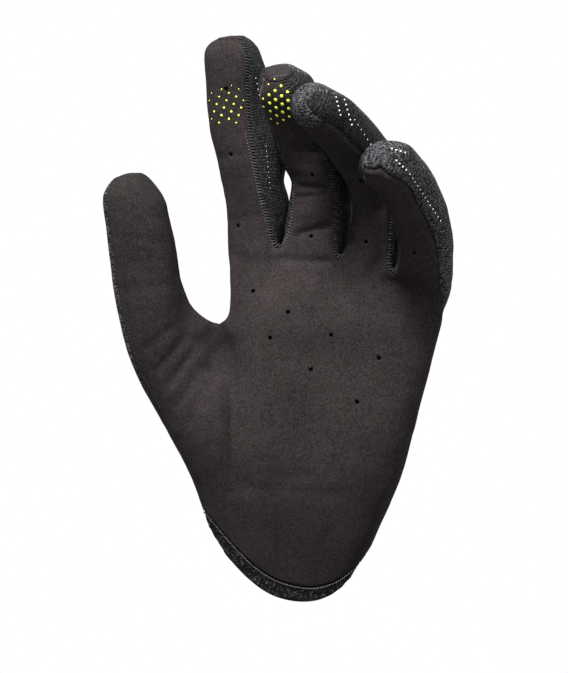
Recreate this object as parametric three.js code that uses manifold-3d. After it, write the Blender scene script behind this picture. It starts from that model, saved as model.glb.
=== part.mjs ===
// A left-hand full-finger cycling glove, standing open as if a hand filled it.
// The palm faces -Y, the fingers point up +Z and the thumb lies towards -X. Millimetres.
// The origin is the centre of the wrist opening, level with the hem at the sides of the wrist.
//
// The outside is one grid of quads. A trunk tube rises from the hem and splits at the thumb
// crotch into the thumb and the palm, and the palm splits at the finger crotches into four
// fingers. Every tube has front, back and two side stretches of columns, so that the seams
// between the sewn panels run along grid lines. Each panel is then given its wall.

import * as THREE from "three";
import Module from "manifold-3d";
import { mergeVertices } from "three/addons/utils/BufferGeometryUtils.js";

// Wrist and palm
const wristBreadth = 69;
const wristDepth = 46;
const palmBreadth = 88.5;
const palmDepth = 34;
const palmShift = 18; // from the wrist's middle towards the little finger
const thumbCrotchHeight = 83.5;
const tongueDrop = 21.5; // the palm's edge hangs this far below the sides of the wrist
const tongueAngle = 6; // from the front towards the little finger
const tongueSharpness = 2.4;
const backDrop = 7;
const backSharpness = 1.8;
const palmCup = 9; // how far the little finger's side of the palm stands forward
const palmThinning = 0.22; // towards the little finger, as a share of the depth
const wristFlare = 0.42; // how steeply the sides widen from the hem
const hemTilt = 6.8; // the hem rises this much at the thumb's side and drops it at the other
const hemShear = 0.12; // how far the sides lean towards the little finger at the hem
const palmSuede = [-78, 92]; // the angles, from its front, at which the palm's front ends
const palmBack = [-102, 112]; // and at which its back ends
const hemSuede = [-98, 96]; // the same at the hem
const hemBack = [-120, 118];
const hemWeb = [-44, 214]; // where the columns below the thumb's crotch reach the hem
const digitRoundness = 2.3; // 2 is an ellipse, more is squarer
const palmRoundness = 2.5;
const wristRoundness = 2.2;

// Digits: lengths run from the knuckle to the end of the fingertip
const indexLength = 118;
const middleLength = 111;
const ringLength = 115;
const littleLength = 92;
const thumbLength = 75;
const indexBreadth = 24.5;
const middleBreadth = 24;
const ringBreadth = 22.5;
const littleBreadth = 22;
const thumbBreadth = 27.5;
const digitDepthShare = 0.9; // a digit's depth against its breadth
const tipDomeLength = 11;
const tipDomeRoundness = 2.4;
const tipPatchAngle = 58; // where round the dome its end's patch starts, in degrees
const rootFollow = 0.18; // how much of the root's shape is left at a digit's first ring
const rowHeight = 8; // of a digit's rings
const fingerWebArch = 2;
const thumbWebDrop = 4;
const thumbWebShare = 0.75; // how far the crotch lies from the thumb towards the palm

// Walls and seams
const suedeWall = 1.2;
const meshWall = 1.6;
const seamGap = 0.3;
const bindingHeight = 6.5; // below the hem
const bindingOverlap = 2.4; // behind the hem
const bindingThickness = 3;
const bindingTuck = [-6, 60]; // degrees that it turns under, at its least and most
const bindingTuckAngle = 112; // where round the hem it turns under most
const gatherCount = 30;
const gatherDepth = 0.5;
const perforationDiameter = 1.7;
const punchDepth = 7.2;
const perforationAngle = 8; // from the middle of a finger's palm side

// How many columns of quads the stretches have
const digitColumns = 4;
const sideColumns = 3;
const trunkRows = 12;
const thumbPanelRow = 4; // the back panel of the thumb starts at this row of the trunk
const palmRows = 4;
const domeRows = 2;
const mitreLimit = 0.2;
const webSweep = new THREE.Vector3(1.3, 0, -0.2); // the crotch's round bottom, seen in front
const webInset = 0.7; // how steeply the palm's front and back turn in to the thumb's crotch

const towardsViewer = new THREE.Vector3(0, -1, 0);
const up = new THREE.Vector3(0, 0, 1);
const radians = THREE.MathUtils.degToRad;
const lerp = THREE.MathUtils.lerp;

// One row for each digit:
// across, depth, height: its knuckle, as shares of palmBreadth, palmDepth and thumbCrotchHeight
// bones: its three bones as shares of its length
// lean, curl: how far each bone leans towards +X and bends towards the palm's side, in degrees
// turn: how far its palm side faces towards the thumb, in equal steps from its root to its tip
// girth: its breadth in the same steps, as shares of the named breadth
// root: where it leaves the hand at its front and its back, as shares of its length
// suede, back: the angles, from its palm side, at which its suede and its back panel end
// perforations: how far along it the holes in its suede lie
const digits = {
  index: {
    length: indexLength, breadth: indexBreadth, across: -0.373, depth: 0.1, height: 1,
    bones: [0.475, 0.25, 0.275], lean: [2, -14, -5], curl: [0, 4, 8], turn: [30, 52, 34, 22],
    girth: [0.93, 1.14, 1, 0.92], root: [0.27, 0.2], suede: [-62, 54], back: [-118, 118],
    perforations: [0.33, 0.58, 0.8],
  },
  middle: {
    length: middleLength, breadth: middleBreadth, across: -0.148, depth: 0.04, height: 1.01,
    bones: [0.475, 0.265, 0.26], lean: [9.5, -17, -24], curl: [6, 20, 38], turn: [10, 22, 34, 44],
    girth: [1.02, 1.08, 1, 0.96], root: [0.265, 0.17], suede: [-46, 42], back: [-118, 118],
    perforations: [0.3, 0.53],
  },
  ring: {
    length: ringLength, breadth: ringBreadth, across: 0.102, depth: -0.06, height: 1.01,
    bones: [0.45, 0.3, 0.25], lean: [12, -31, -51], curl: [13, 32, 40], turn: [12, 32, 56, 72],
    girth: [0.99, 1.02, 1, 0.94], root: [0.22, 0.13], suede: [-46, 42], back: [-118, 118],
    perforations: [0.29, 0.52],
  },
  little: {
    length: littleLength, breadth: littleBreadth, across: 0.405, depth: -0.2, height: 0.98,
    bones: [0.44, 0.3, 0.26], lean: [1, -23, -57], curl: [26, 35, 50], turn: [16, 38, 56, 72],
    girth: [1, 1.02, 1, 0.94], root: [0.29, 0.14], suede: [-46, 44], back: [-118, 118],
    perforations: [0.34],
  },
  thumb: {
    length: thumbLength, breadth: thumbBreadth, across: -0.78, depth: -0.2, height: 0.84,
    bones: [0.31, 0.33, 0.36], lean: [-13, -8, -11], curl: [8, 6, 4], turn: [0, 0, 0, 0],
    girth: [1.03, 1, 0.95, 0.9], root: [0.2, 0.2], suede: [-64, 88], back: [-112, 118],
    perforations: [],
  },
};
const fingerNames = ["index", "middle", "ring", "little"];

// A point on a rounded outline, at an angle from its front towards its right
function outlinePoint(angle, roundness) {
  const s = Math.sin(radians(angle));
  const c = Math.cos(radians(angle));
  return [
    Math.sign(s) * Math.abs(s) ** (2 / roundness),
    Math.sign(c) * Math.abs(c) ** (2 / roundness),
  ];
}

// The value at a share of the way along a smooth line through evenly spaced values
function profile(values, t) {
  const last = values.length - 1;
  const i = Math.min(Math.floor(t * last), last - 1);
  const at = (k) => values[THREE.MathUtils.clamp(k, 0, last)];
  const slope = (k) => (at(k + 1) - at(k - 1)) / 2;
  const f = t * last - i;
  const rise = at(i + 1) - at(i);
  return (
    at(i) + f * slope(i) + f ** 2 * (3 * rise - 2 * slope(i) - slope(i + 1)) +
    f ** 3 * (slope(i) + slope(i + 1) - 2 * rise)
  );
}

// Evenly spaced angles, ends included
function spread(from, to, steps) {
  return Array.from({ length: steps + 1 }, (_, i) => from + ((to - from) * i) / steps);
}

// The angles of a tube's columns: front left to right, right side, back right to left, left side
function columnAngles(suede, back, columns) {
  const front = spread(suede[0], suede[1], columns);
  const right = spread(suede[1], back[1], sideColumns).slice(1, -1);
  const rear = spread(back[1], back[0] + 360, columns);
  const left = spread(back[0], suede[0], sideColumns).slice(1, -1);
  return [...front, ...right, ...rear, ...left];
}

// The line through a digit's middle, from its knuckle joint to the end of its tip
function centreline(digit) {
  const start = new THREE.Vector3(
    palmShift + digit.across * palmBreadth,
    digit.depth * palmDepth,
    digit.height * thumbCrotchHeight,
  );
  const points = [start];
  digit.bones.forEach((share, i) => {
    const lean = radians(digit.lean[i]);
    const curl = radians(digit.curl[i]);
    const direction = new THREE.Vector3(
      Math.sin(lean) * Math.cos(curl), -Math.sin(curl), Math.cos(lean) * Math.cos(curl),
    );
    points.push(points.at(-1).clone().addScaledVector(direction, share * digit.length));
  });
  return new THREE.CatmullRomCurve3(points, false, "centripetal");
}

// A share of a digit's length, counted from its root instead of its knuckle
function aboveRoot(digit, share) {
  return Math.max(0, (share - digit.root[0]) / (1 - digit.root[0]));
}

// The middle, and the side and palm directions, of a digit's cross-section at a share of its length
function digitFrame(digit, curve, share) {
  const tangent = curve.getTangentAt(share);
  const palmar = towardsViewer.clone().addScaledVector(tangent, -towardsViewer.dot(tangent));
  palmar.normalize();
  palmar.applyAxisAngle(tangent, -radians(profile(digit.turn, aboveRoot(digit, share))));
  return { middle: curve.getPointAt(share), tangent, palmar, side: tangent.clone().cross(palmar) };
}

// A point of a digit, from its place (across, front) in the unit outline
function digitPoint(digit, curve, share, across, front) {
  const f = digitFrame(digit, curve, share);
  const half = (digit.breadth / 2) * profile(digit.girth, aboveRoot(digit, share));
  return f.middle
    .addScaledVector(f.side, half * across)
    .addScaledVector(f.palmar, half * digitDepthShare * front);
}

// Where a digit leaves the hand at an angle from its palm side, as a share of its length
function rootShare(digit, angle) {
  return lerp(digit.root[1], digit.root[0], (1 + Math.cos(radians(angle))) / 2);
}

function digitOutlinePoint(digit, curve, share, angle) {
  return digitPoint(digit, curve, share, ...outlinePoint(angle, digitRoundness));
}

// The grid's points, with the ring functions returning indices into it
const points = [];
function addPoint(p) {
  points.push(p);
  return points.length - 1;
}

const quads = [];
function addQuad(a, b, c, d, panel) {
  quads.push({ corners: [a, b, c, d], panel });
}

function joinRings(lower, upper, panelOf) {
  lower.forEach((a, i) => {
    const j = (i + 1) % lower.length;
    addQuad(a, lower[j], upper[j], upper[i], panelOf(i));
  });
}

// Which stretch of a tube a column belongs to
function stretchOf(column, columns) {
  if (column < columns) return "front";
  if (column < columns + sideColumns) return "right";
  if (column < 2 * columns + sideColumns) return "back";
  return "left";
}

// Hermite interpolation between two points with their tangents
function hermite(p0, t0, p1, t1, t) {
  const a = 2 * t ** 3 - 3 * t ** 2 + 1;
  const b = t ** 3 - 2 * t ** 2 + t;
  const c = -2 * t ** 3 + 3 * t ** 2;
  const d = t ** 3 - t ** 2;
  return new THREE.Vector3()
    .addScaledVector(p0, a)
    .addScaledVector(t0, b)
    .addScaledVector(p1, c)
    .addScaledVector(t1, d);
}

// Rows of rings between two rings, each column following its own Hermite curve
function ringsBetween(lower, lowerTangents, upper, upperTangents, rows) {
  const rings = [lower];
  for (let row = 1; row < rows; row += 1) {
    rings.push(
      lower.map((id, i) => {
        const run = points[id].distanceTo(points[upper[i]]);
        return addPoint(
          hermite(
            points[id], lowerTangents[i].clone().multiplyScalar(run),
            points[upper[i]], upperTangents[i].clone().multiplyScalar(run), row / rows,
          ),
        );
      }),
    );
  }
  rings.push(upper);
  return rings;
}

// The crotch between two tubes: a front point, a back point and the web's points between them,
// which arch upwards. The whole of it may hang lower than the tubes' own edges.
function addWeb(leftTube, rightTube, arch, drop = 0, share = 0.5) {
  const half = (a, b) => a.clone().lerp(b, share).addScaledVector(up, -drop);
  const front = half(leftTube.at(-1).front, rightTube.at(0).front);
  const back = half(leftTube.at(-1).back, rightTube.at(0).back);
  const web = spread(0, 1, sideColumns).map((t) =>
    front.clone().lerp(back, t).addScaledVector(up, arch * Math.sin(Math.PI * t)),
  );
  return web.map(addPoint);
}

// The root ring of a digit, before its crotches are shared: pairs of front and back points
function rootPairs(digit, curve) {
  const angles = columnAngles(digit.suede, digit.back, digitColumns);
  const at = (angle) => digitOutlinePoint(digit, curve, rootShare(digit, angle), angle);
  const backStart = digitColumns + sideColumns;
  return spread(0, digitColumns, digitColumns).map((i) => ({
    front: at(angles[i]),
    back: at(angles[backStart + digitColumns - i]),
  }));
}

// A digit's root ring, given the webs on its two sides, each from front to back
function rootRing(pairs, leftWeb, rightWeb) {
  const inner = pairs.slice(1, -1);
  return [
    leftWeb[0], ...inner.map((p) => addPoint(p.front)), rightWeb[0],
    ...rightWeb.slice(1, -1), rightWeb.at(-1),
    ...inner.map((p) => addPoint(p.back)).reverse(), leftWeb.at(-1),
    ...leftWeb.slice(1, -1).reverse(),
  ];
}

// A side of a digit that has no neighbour, from front to back
function freeSide(digit, curve, right) {
  const angles = right
    ? spread(digit.suede[1], digit.back[1], sideColumns)
    : spread(digit.suede[0], digit.back[0], sideColumns);
  return angles.map((a) => addPoint(digitOutlinePoint(digit, curve, rootShare(digit, a), a)));
}

// Draws a digit's first ring towards the shape of its root, which rounds its crotches
function followRoot(ring, root, tangent) {
  ring.forEach((p, i) => {
    const rise = p.clone().sub(points[root[i]]).dot(tangent);
    p.lerp(points[root[i]].clone().addScaledVector(tangent, rise), rootFollow);
  });
}

// A digit above its root ring: plain rings, dome rings and the patch that closes its tip
function addDigit(digit, curve, root, panelOf) {
  const angles = columnAngles(digit.suede, digit.back, digitColumns);
  const domeStart = 1 - tipDomeLength / digit.length;
  const rows = Math.round(((domeStart - digit.root[0]) * digit.length) / rowHeight);
  let below = root;
  const climb = (ring, onDome) => {
    joinRings(below, ring, (i) => panelOf(stretchOf(i, digitColumns), onDome));
    below = ring;
  };
  for (let i = 1; i <= rows; i += 1) {
    const at = (a) => lerp(rootShare(digit, a), domeStart, i / rows);
    const ring = angles.map((a) => digitOutlinePoint(digit, curve, at(a), a));
    if (i === 1) followRoot(ring, root, curve.getTangentAt(digit.root[0]));
    climb(ring.map(addPoint), false);
  }
  const domePoint = (across, front) => {
    const reach = Math.min(1, Math.hypot(across, front));
    const rise = (1 - reach ** tipDomeRoundness) ** (1 / tipDomeRoundness);
    return digitPoint(digit, curve, domeStart + (1 - domeStart) * rise, across, front);
  };
  const unitRing = angles.map((a) => outlinePoint(a, digitRoundness));
  const shrunk = (reach) => unitRing.map((place) => place.map((v) => v * reach));
  for (let i = 1; i <= domeRows; i += 1) {
    const reach = Math.cos(radians((tipPatchAngle * i) / domeRows));
    climb(shrunk(reach).map((place) => addPoint(domePoint(...place))), true);
  }
  addTipPatch(below, shrunk(Math.cos(radians(tipPatchAngle))), domePoint, panelOf("tip"));
}

// Closes a tip ring, whose places in the unit outline are given, with a patch of quads between
// its front and back stretches
function addTipPatch(ring, place, domePoint, panel) {
  const backStart = digitColumns + sideColumns;
  const frontAt = (i) => i;
  const backAt = (i) => backStart + digitColumns - i;
  const leftAt = (j) => (j === 0 ? 0 : ring.length - j);
  const rightAt = (j) => digitColumns + j;
  const grid = spread(0, sideColumns, sideColumns).map((j) =>
    spread(0, digitColumns, digitColumns).map((i) => {
      if (j === 0) return ring[frontAt(i)];
      if (j === sideColumns) return ring[backAt(i)];
      if (i === 0) return ring[leftAt(j)];
      if (i === digitColumns) return ring[rightAt(j)];
      const u = i / digitColumns;
      const v = j / sideColumns;
      const mix = [0, 1].map((k) => {
        const rows = place[frontAt(i)][k] * (1 - v) + place[backAt(i)][k] * v;
        const columns = place[leftAt(j)][k] * (1 - u) + place[rightAt(j)][k] * u;
        const corners =
          (place[frontAt(0)][k] * (1 - v) + place[backAt(0)][k] * v) * (1 - u) +
          (place[frontAt(digitColumns)][k] * (1 - v) + place[backAt(digitColumns)][k] * v) * u;
        return rows + columns - corners;
      });
      return addPoint(domePoint(...mix));
    }),
  );
  for (let j = 0; j < sideColumns; j += 1)
    for (let i = 0; i < digitColumns; i += 1)
      addQuad(grid[j][i], grid[j][i + 1], grid[j + 1][i + 1], grid[j + 1][i], panel);
}

// The hem's height round the wrist: a tongue at the palm, a shallow dip at the back
function hemHeight(angle) {
  const c = Math.cos(radians(angle - tongueAngle));
  const drop = c > 0 ? tongueDrop * c ** tongueSharpness : backDrop * (-c) ** backSharpness;
  return -drop - hemTilt * Math.sin(radians(angle));
}

const palmColumns = digitColumns * fingerNames.length;
const trunkColumns = palmColumns + digitColumns;
const curves = Object.fromEntries(
  Object.entries(digits).map(([name, digit]) => [name, centreline(digit)]),
);

// Finger crotches and root rings
const pairs = Object.fromEntries(
  Object.entries(digits).map(([name, digit]) => [name, rootPairs(digit, curves[name])]),
);
const webs = [
  freeSide(digits.index, curves.index, false),
  addWeb(pairs.index, pairs.middle, fingerWebArch),
  addWeb(pairs.middle, pairs.ring, fingerWebArch),
  addWeb(pairs.ring, pairs.little, fingerWebArch),
  freeSide(digits.little, curves.little, true),
];
const fingerRoots = fingerNames.map((name, i) => rootRing(pairs[name], webs[i], webs[i + 1]));

// The ring of the palm at the finger crotches, with each column's upward direction
function palmTop() {
  const front = [];
  const back = [];
  const directions = new Map();
  const backStart = digitColumns + sideColumns;
  fingerNames.forEach((name, k) => {
    const tangent = curves[name].getTangentAt(digits[name].root[0]);
    fingerRoots[k].forEach((id) => {
      if (!directions.has(id)) directions.set(id, new THREE.Vector3());
      directions.get(id).add(tangent);
    });
    front.push(...fingerRoots[k].slice(k ? 1 : 0, digitColumns + 1));
    back.push(
      ...fingerRoots[k].slice(backStart, backStart + digitColumns + 1).reverse().slice(k ? 1 : 0),
    );
  });
  const ring = [
    ...front, ...webs.at(-1).slice(1, -1), ...back.reverse(), ...webs[0].slice(1, -1).reverse(),
  ];
  return { ring, tangents: ring.map((id) => directions.get(id).clone().normalize()) };
}

// The palm's ring at the thumb crotch, as front and back points from the thumb's side across
function palmMiddlePoint(angle) {
  const [across, front] = outlinePoint(angle, palmRoundness);
  return new THREE.Vector3(
    palmShift + (palmBreadth / 2) * across,
    (-palmDepth / 2) * front * (1 - palmThinning * across) - palmCup * Math.max(0, across) ** 1.5,
    thumbCrotchHeight,
  );
}

const palmAngles = columnAngles(palmSuede, palmBack, palmColumns);
const palmPairs = spread(0, palmColumns, palmColumns).map((i) => ({
  front: palmMiddlePoint(palmAngles[i]),
  back: palmMiddlePoint(palmAngles[2 * palmColumns + sideColumns - i]),
}));
const thumbWeb = addWeb(pairs.thumb, palmPairs, 0, thumbWebDrop, thumbWebShare);
const thumbOuter = freeSide(digits.thumb, curves.thumb, false);
const palmOuter = spread(palmSuede[1], palmBack[1], sideColumns).map((a) =>
  addPoint(palmMiddlePoint(a)),
);
const thumbRoot = rootRing(pairs.thumb, thumbOuter, thumbWeb);
const palmRoot = rootRing(palmPairs, thumbWeb, palmOuter);

// The hem: a point of it at an angle from its front, and the way up the glove's surface there
function hemPoint(angle) {
  const [across, front] = outlinePoint(angle, wristRoundness);
  return new THREE.Vector3(
    (wristBreadth / 2) * across,
    (-wristDepth / 2) * front,
    hemHeight(angle),
  );
}

function hemTangent(angle) {
  return new THREE.Vector3(wristFlare * Math.sin(radians(angle)) + hemShear, 0, 1).normalize();
}

// The thumb's columns take the hem from its left side to the web's angles, the palm's the rest
const hemAngles = [
  [hemSuede[0], hemWeb[0], digitColumns],
  [hemWeb[0], hemSuede[1], palmColumns],
  [hemSuede[1], hemBack[1], sideColumns],
  [hemBack[1], hemWeb[1], palmColumns],
  [hemWeb[1], hemBack[0] + 360, digitColumns],
  [hemBack[0] + 360, hemSuede[0] + 360, sideColumns],
].flatMap(([from, to, steps]) => spread(from, to, steps).slice(0, -1));
const hem = hemAngles.map((angle) => addPoint(hemPoint(angle)));
const hemTangents = hemAngles.map(hemTangent);

// The trunk's top ring: the thumb's and the palm's rings without the web between them
const trunkTop = [
  ...thumbRoot.slice(0, digitColumns + 1),
  ...palmRoot.slice(1, 2 * palmColumns + sideColumns),
  ...thumbRoot.slice(digitColumns + sideColumns),
];

// Columns run smoothly from the hem through the palm's ring to the finger roots. At the thumb's
// crotch they turn inwards from the front and the back to meet in the web.
const palmHigh = palmTop();
const finger = new Map(palmRoot.map((id, i) => [id, palmHigh.ring[i]]));
const thumbTangent = curves.thumb.getTangentAt(digits.thumb.root[0]);
const trunkTopTangents = trunkTop.map((id, i) => {
  if (id === thumbWeb[0]) return new THREE.Vector3(0, webInset, 1).normalize();
  if (id === thumbWeb.at(-1)) return new THREE.Vector3(0, -webInset, 1).normalize();
  if (!finger.has(id)) return thumbTangent;
  return points[finger.get(id)].clone().sub(points[hem[i]]).normalize();
});
const palmLowTangents = palmRoot.map((id) =>
  thumbWeb.includes(id) ? webSweep : trunkTopTangents[trunkTop.indexOf(id)],
);
const trunkRings = ringsBetween(hem, hemTangents, trunkTop, trunkTopTangents, trunkRows);
const palmRings = ringsBetween(
  palmRoot, palmLowTangents, palmHigh.ring, palmHigh.tangents, palmRows,
);

// Panels
trunkRings.slice(1).forEach((ring, row) =>
  joinRings(trunkRings[row], ring, (i) => {
    if (i < trunkColumns) return "palm_suede";
    const thumbBackFrom = trunkColumns + sideColumns + palmColumns;
    return i >= thumbBackFrom && row >= thumbPanelRow ? "thumb_back" : "back_mesh";
  }),
);
palmRings.slice(1).forEach((ring, row) =>
  joinRings(palmRings[row], ring, (i) =>
    ["front", "left"].includes(stretchOf(i, palmColumns)) ? "palm_suede" : "back_mesh",
  ),
);
addDigit(digits.thumb, curves.thumb, thumbRoot, (stretch) =>
  ["front", "right", "tip"].includes(stretch) ? "palm_suede" : "thumb_back",
);
const sidePanels = {
  index: ["palm_suede", "fourchette_index_middle"],
  middle: ["fourchette_index_middle", "fourchette_middle_ring"],
  ring: ["fourchette_middle_ring", "fourchette_ring_little"],
  little: ["fourchette_ring_little", "back_mesh"],
};
// The finger whose mesh is drawn down over the front of its tip as well
const meshDomed = "ring";
fingerNames.forEach((name, k) => {
  const suedeTip = name === "index" || name === "middle";
  addDigit(digits[name], curves[name], fingerRoots[k], (stretch, onDome) => {
    if (stretch === "tip") return suedeTip ? name + "_tip_cap" : "back_mesh";
    if (stretch === "front") return onDome && name === meshDomed ? "back_mesh" : "palm_suede";
    if (stretch === "back") return "back_mesh";
    return sidePanels[name][stretch === "left" ? 0 : 1];
  });
});

// Normals of the whole outside, so that the walls of neighbouring panels meet squarely
function pointNormals() {
  const sums = points.map(() => new THREE.Vector3());
  quads.forEach(({ corners: [a, b, c, d] }) => {
    const normal = points[c].clone().sub(points[a]).cross(points[d].clone().sub(points[b]));
    [a, b, c, d].forEach((id) => sums[id].add(normal));
  });
  return sums.map((n) => n.normalize());
}

// Swells and dents of the palm's side: where each lies, its length and breadth, its slant from
// upright towards the little finger in degrees, and how far it rises from the surface
const relief = [
  { across: -0.56, height: 0.5, length: 0.3, breadth: 0.17, slant: -30, rise: 0.12 }, // thumb's ball
  { across: 0.26, height: 0.42, length: 0.3, breadth: 0.16, slant: 8, rise: 0.09 }, // outer ball
  { across: 0.02, height: 0.7, length: 0.2, breadth: 0.2, slant: 0, rise: -0.08 }, // hollow
  { across: -0.02, height: 0.98, length: 0.07, breadth: 0.3, slant: 0, rise: 0.05 }, // pads
  { across: -0.2, height: 0.19, length: 0.035, breadth: 0.24, slant: 4, rise: -0.05 }, // heel crease
  { across: -0.52, height: 0.86, length: 0.16, breadth: 0.08, slant: 12, rise: -0.05 }, // thumb fold
];

function reliefAt(p) {
  return relief.reduce((sum, fold) => {
    const x = (p.x - palmShift) / palmBreadth - fold.across;
    const z = (p.z / thumbCrotchHeight - fold.height) * (thumbCrotchHeight / palmBreadth);
    const c = Math.cos(radians(fold.slant));
    const s = Math.sin(radians(fold.slant));
    const along = (z * c + x * s) / fold.length;
    const aside = (x * c - z * s) / fold.breadth;
    return sum + palmDepth * fold.rise * Math.exp(-(along ** 2) - aside ** 2);
  }, 0);
}

const smoothNormals = pointNormals();
points.forEach((p, i) => {
  const facing = Math.max(0, smoothNormals[i].dot(towardsViewer));
  p.addScaledVector(smoothNormals[i], reliefAt(p) * facing);
});
const normals = pointNormals();

// How each corner of a panel's edge moves into the panel, so that every edge retreats by a distance
function edgeRetreat(edges, distance) {
  const sides = new Map();
  edges.forEach(([from, to]) => {
    const along = points[to].clone().sub(points[from]);
    [from, to].forEach((id) => {
      const side = normals[id].clone().cross(along).normalize();
      if (!sides.has(id)) sides.set(id, []);
      sides.get(id).push(side);
    });
  });
  return new Map(
    [...sides].map(([id, [a, b]]) => {
      const mitre = distance / Math.max(mitreLimit, 1 + a.dot(b));
      return [id, a.clone().add(b).multiplyScalar(mitre)];
    }),
  );
}

// One panel's wall: outside and inside sheets, joined round its edge, which stands back half a
// seam gap from the edge of its neighbours
function panelGeometry(panel, wall) {
  const own = quads.filter((q) => q.panel === panel);
  const edges = new Map();
  own.forEach(({ corners }) =>
    corners.forEach((a, i) => {
      const b = corners[(i + 1) % 4];
      if (edges.has(b + ":" + a)) edges.delete(b + ":" + a);
      else edges.set(a + ":" + b, [a, b]);
    }),
  );
  const inward = edgeRetreat([...edges.values()], seamGap / 2);
  const ids = [...new Set(own.flatMap((q) => q.corners))];
  const index = new Map(ids.map((id, i) => [id, i]));
  const outside = ids.map((id) => {
    const p = points[id].clone();
    return inward.has(id) ? p.add(inward.get(id)) : p;
  });
  const inside = ids.map((id, i) => outside[i].clone().addScaledVector(normals[id], -wall));
  const faces = [];
  const n = ids.length;
  own.forEach(({ corners }) => {
    const [a, b, c, d] = corners.map((id) => index.get(id));
    faces.push([a, b, c], [a, c, d], [n + a, n + c, n + b], [n + a, n + d, n + c]);
  });
  edges.forEach(([from, to]) => {
    const a = index.get(from);
    const b = index.get(to);
    // both panels of a seam split its twisted faces along the same diagonal
    if (from < to) faces.push([a, n + a, n + b], [a, n + b, b]);
    else faces.push([a, n + a, b], [n + a, n + b, b]);
  });
  return bufferGeometry([...outside, ...inside], faces);
}

// The binding: a folded strip with a tongue behind the hem. It hangs below the hem, is gathered
// into small pleats all round and turns under at the little finger's side. Its section is given
// by how far inside the glove's surface and how far below the hem each point lies.
function bindingGeometry() {
  const edge = bindingThickness / 8;
  const tongue = meshWall + seamGap;
  const section = [
    [tongue + edge, -bindingOverlap], [tongue, edge - bindingOverlap], [tongue, seamGap],
    [edge, seamGap], [0, seamGap + edge], [0, bindingHeight - 2 * edge],
    [2 * edge, bindingHeight], [bindingThickness - 2 * edge, bindingHeight],
    [bindingThickness, bindingHeight - 2 * edge], [bindingThickness, 0],
    [bindingThickness, edge - bindingOverlap], [bindingThickness - edge, -bindingOverlap],
  ];
  const columns = gatherCount * 4;
  const vertices = [];
  const faces = [];
  for (let i = 0; i < columns; i += 1) {
    const angle = (360 * i) / columns;
    const ahead = hemPoint(angle + 1).sub(hemPoint(angle - 1));
    const rising = hemTangent(angle);
    const outward = ahead.cross(rising).normalize();
    const under = Math.max(0, Math.cos(radians(angle - bindingTuckAngle))) ** 3;
    const turn = radians(lerp(...bindingTuck, under));
    section.forEach(([inside, below], j) => {
      const hanging = below > seamGap;
      const tuck = hanging ? turn : 0;
      const down = rising.clone().multiplyScalar(-Math.cos(tuck));
      down.addScaledVector(outward, -Math.sin(tuck));
      const inward = outward.clone().multiplyScalar(-Math.cos(tuck));
      inward.addScaledVector(rising, Math.sin(tuck));
      const pleat = hanging && inside < tongue && i % 4 > 1 ? gatherDepth : 0;
      const place = hemPoint(angle).addScaledVector(inward, inside + pleat);
      vertices.push(place.addScaledVector(down, below));
      const next = (j + 1) % section.length;
      const a = i * section.length + j;
      const b = i * section.length + next;
      const c = ((i + 1) % columns) * section.length + next;
      const d = ((i + 1) % columns) * section.length + j;
      faces.push([a, b, c], [a, c, d]);
    });
  }
  return bufferGeometry(vertices, faces);
}

function bufferGeometry(vertices, faces) {
  const geometry = new THREE.BufferGeometry();
  geometry.setAttribute(
    "position", new THREE.Float32BufferAttribute(vertices.flatMap((v) => v.toArray()), 3),
  );
  geometry.setIndex(faces.flat());
  geometry.computeVertexNormals();
  return geometry;
}

// The holes punched through the palm, as shares of its breadth and of the thumb crotch's height
const palmPerforations = [
  { across: -0.365, height: 1.152 },
  { across: -0.203, height: 1.049 },
  { across: -0.286, height: 0.922 },
  { across: -0.005, height: 0.937 },
  { across: -0.097, height: 0.77 },
  { across: 0.216, height: 0.824 },
  { across: 0.115, height: 0.61 },
];

function punch(place, direction, depth) {
  const radius = perforationDiameter / 2;
  const pin = new THREE.CylinderGeometry(radius, radius, depth, 8);
  const turn = new THREE.Quaternion().setFromUnitVectors(new THREE.Vector3(0, 1, 0), direction);
  return pin.applyQuaternion(turn).translate(place.x, place.y, place.z);
}

function punches() {
  const palm = palmPerforations.map(({ across, height }) => {
    const place = new THREE.Vector3(
      palmShift + across * palmBreadth, -palmDepth / 2, height * thumbCrotchHeight,
    );
    return punch(place, towardsViewer, palmDepth);
  });
  const onDigits = Object.entries(digits).flatMap(([name, digit]) =>
    digit.perforations.map((share) => {
      const frame = digitFrame(digit, curves[name], share);
      const place = digitOutlinePoint(digit, curves[name], share, perforationAngle);
      return punch(place, frame.palmar, punchDepth);
    }),
  );
  return [...palm, ...onDigits];
}

const wasm = await Module();
wasm.setup();

function toManifold(geometry) {
  const bare = geometry.clone();
  bare.deleteAttribute("normal");
  bare.deleteAttribute("uv");
  const merged = mergeVertices(bare);
  return new wasm.Manifold(
    new wasm.Mesh({
      numProp: 3,
      vertProperties: merged.getAttribute("position").array,
      triVerts: new Uint32Array(merged.getIndex().array),
    }),
  );
}

function fromManifold(solid) {
  const { vertProperties, triVerts } = solid.getMesh();
  const geometry = new THREE.BufferGeometry();
  geometry.setAttribute("position", new THREE.BufferAttribute(vertProperties, 3));
  geometry.setIndex(new THREE.BufferAttribute(triVerts, 1));
  geometry.computeVertexNormals();
  return geometry;
}

function perforated(geometry) {
  const solid = punches().reduce((left, pin) => left.subtract(toManifold(pin)), toManifold(geometry));
  return fromManifold(solid);
}

const suede = new THREE.MeshStandardMaterial({ color: 0x393433, roughness: 0.95 });
const mesh = new THREE.MeshStandardMaterial({ color: 0x1c1d1f, roughness: 0.85 });
const elastic = new THREE.MeshStandardMaterial({ color: 0x131315, roughness: 0.8 });

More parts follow.
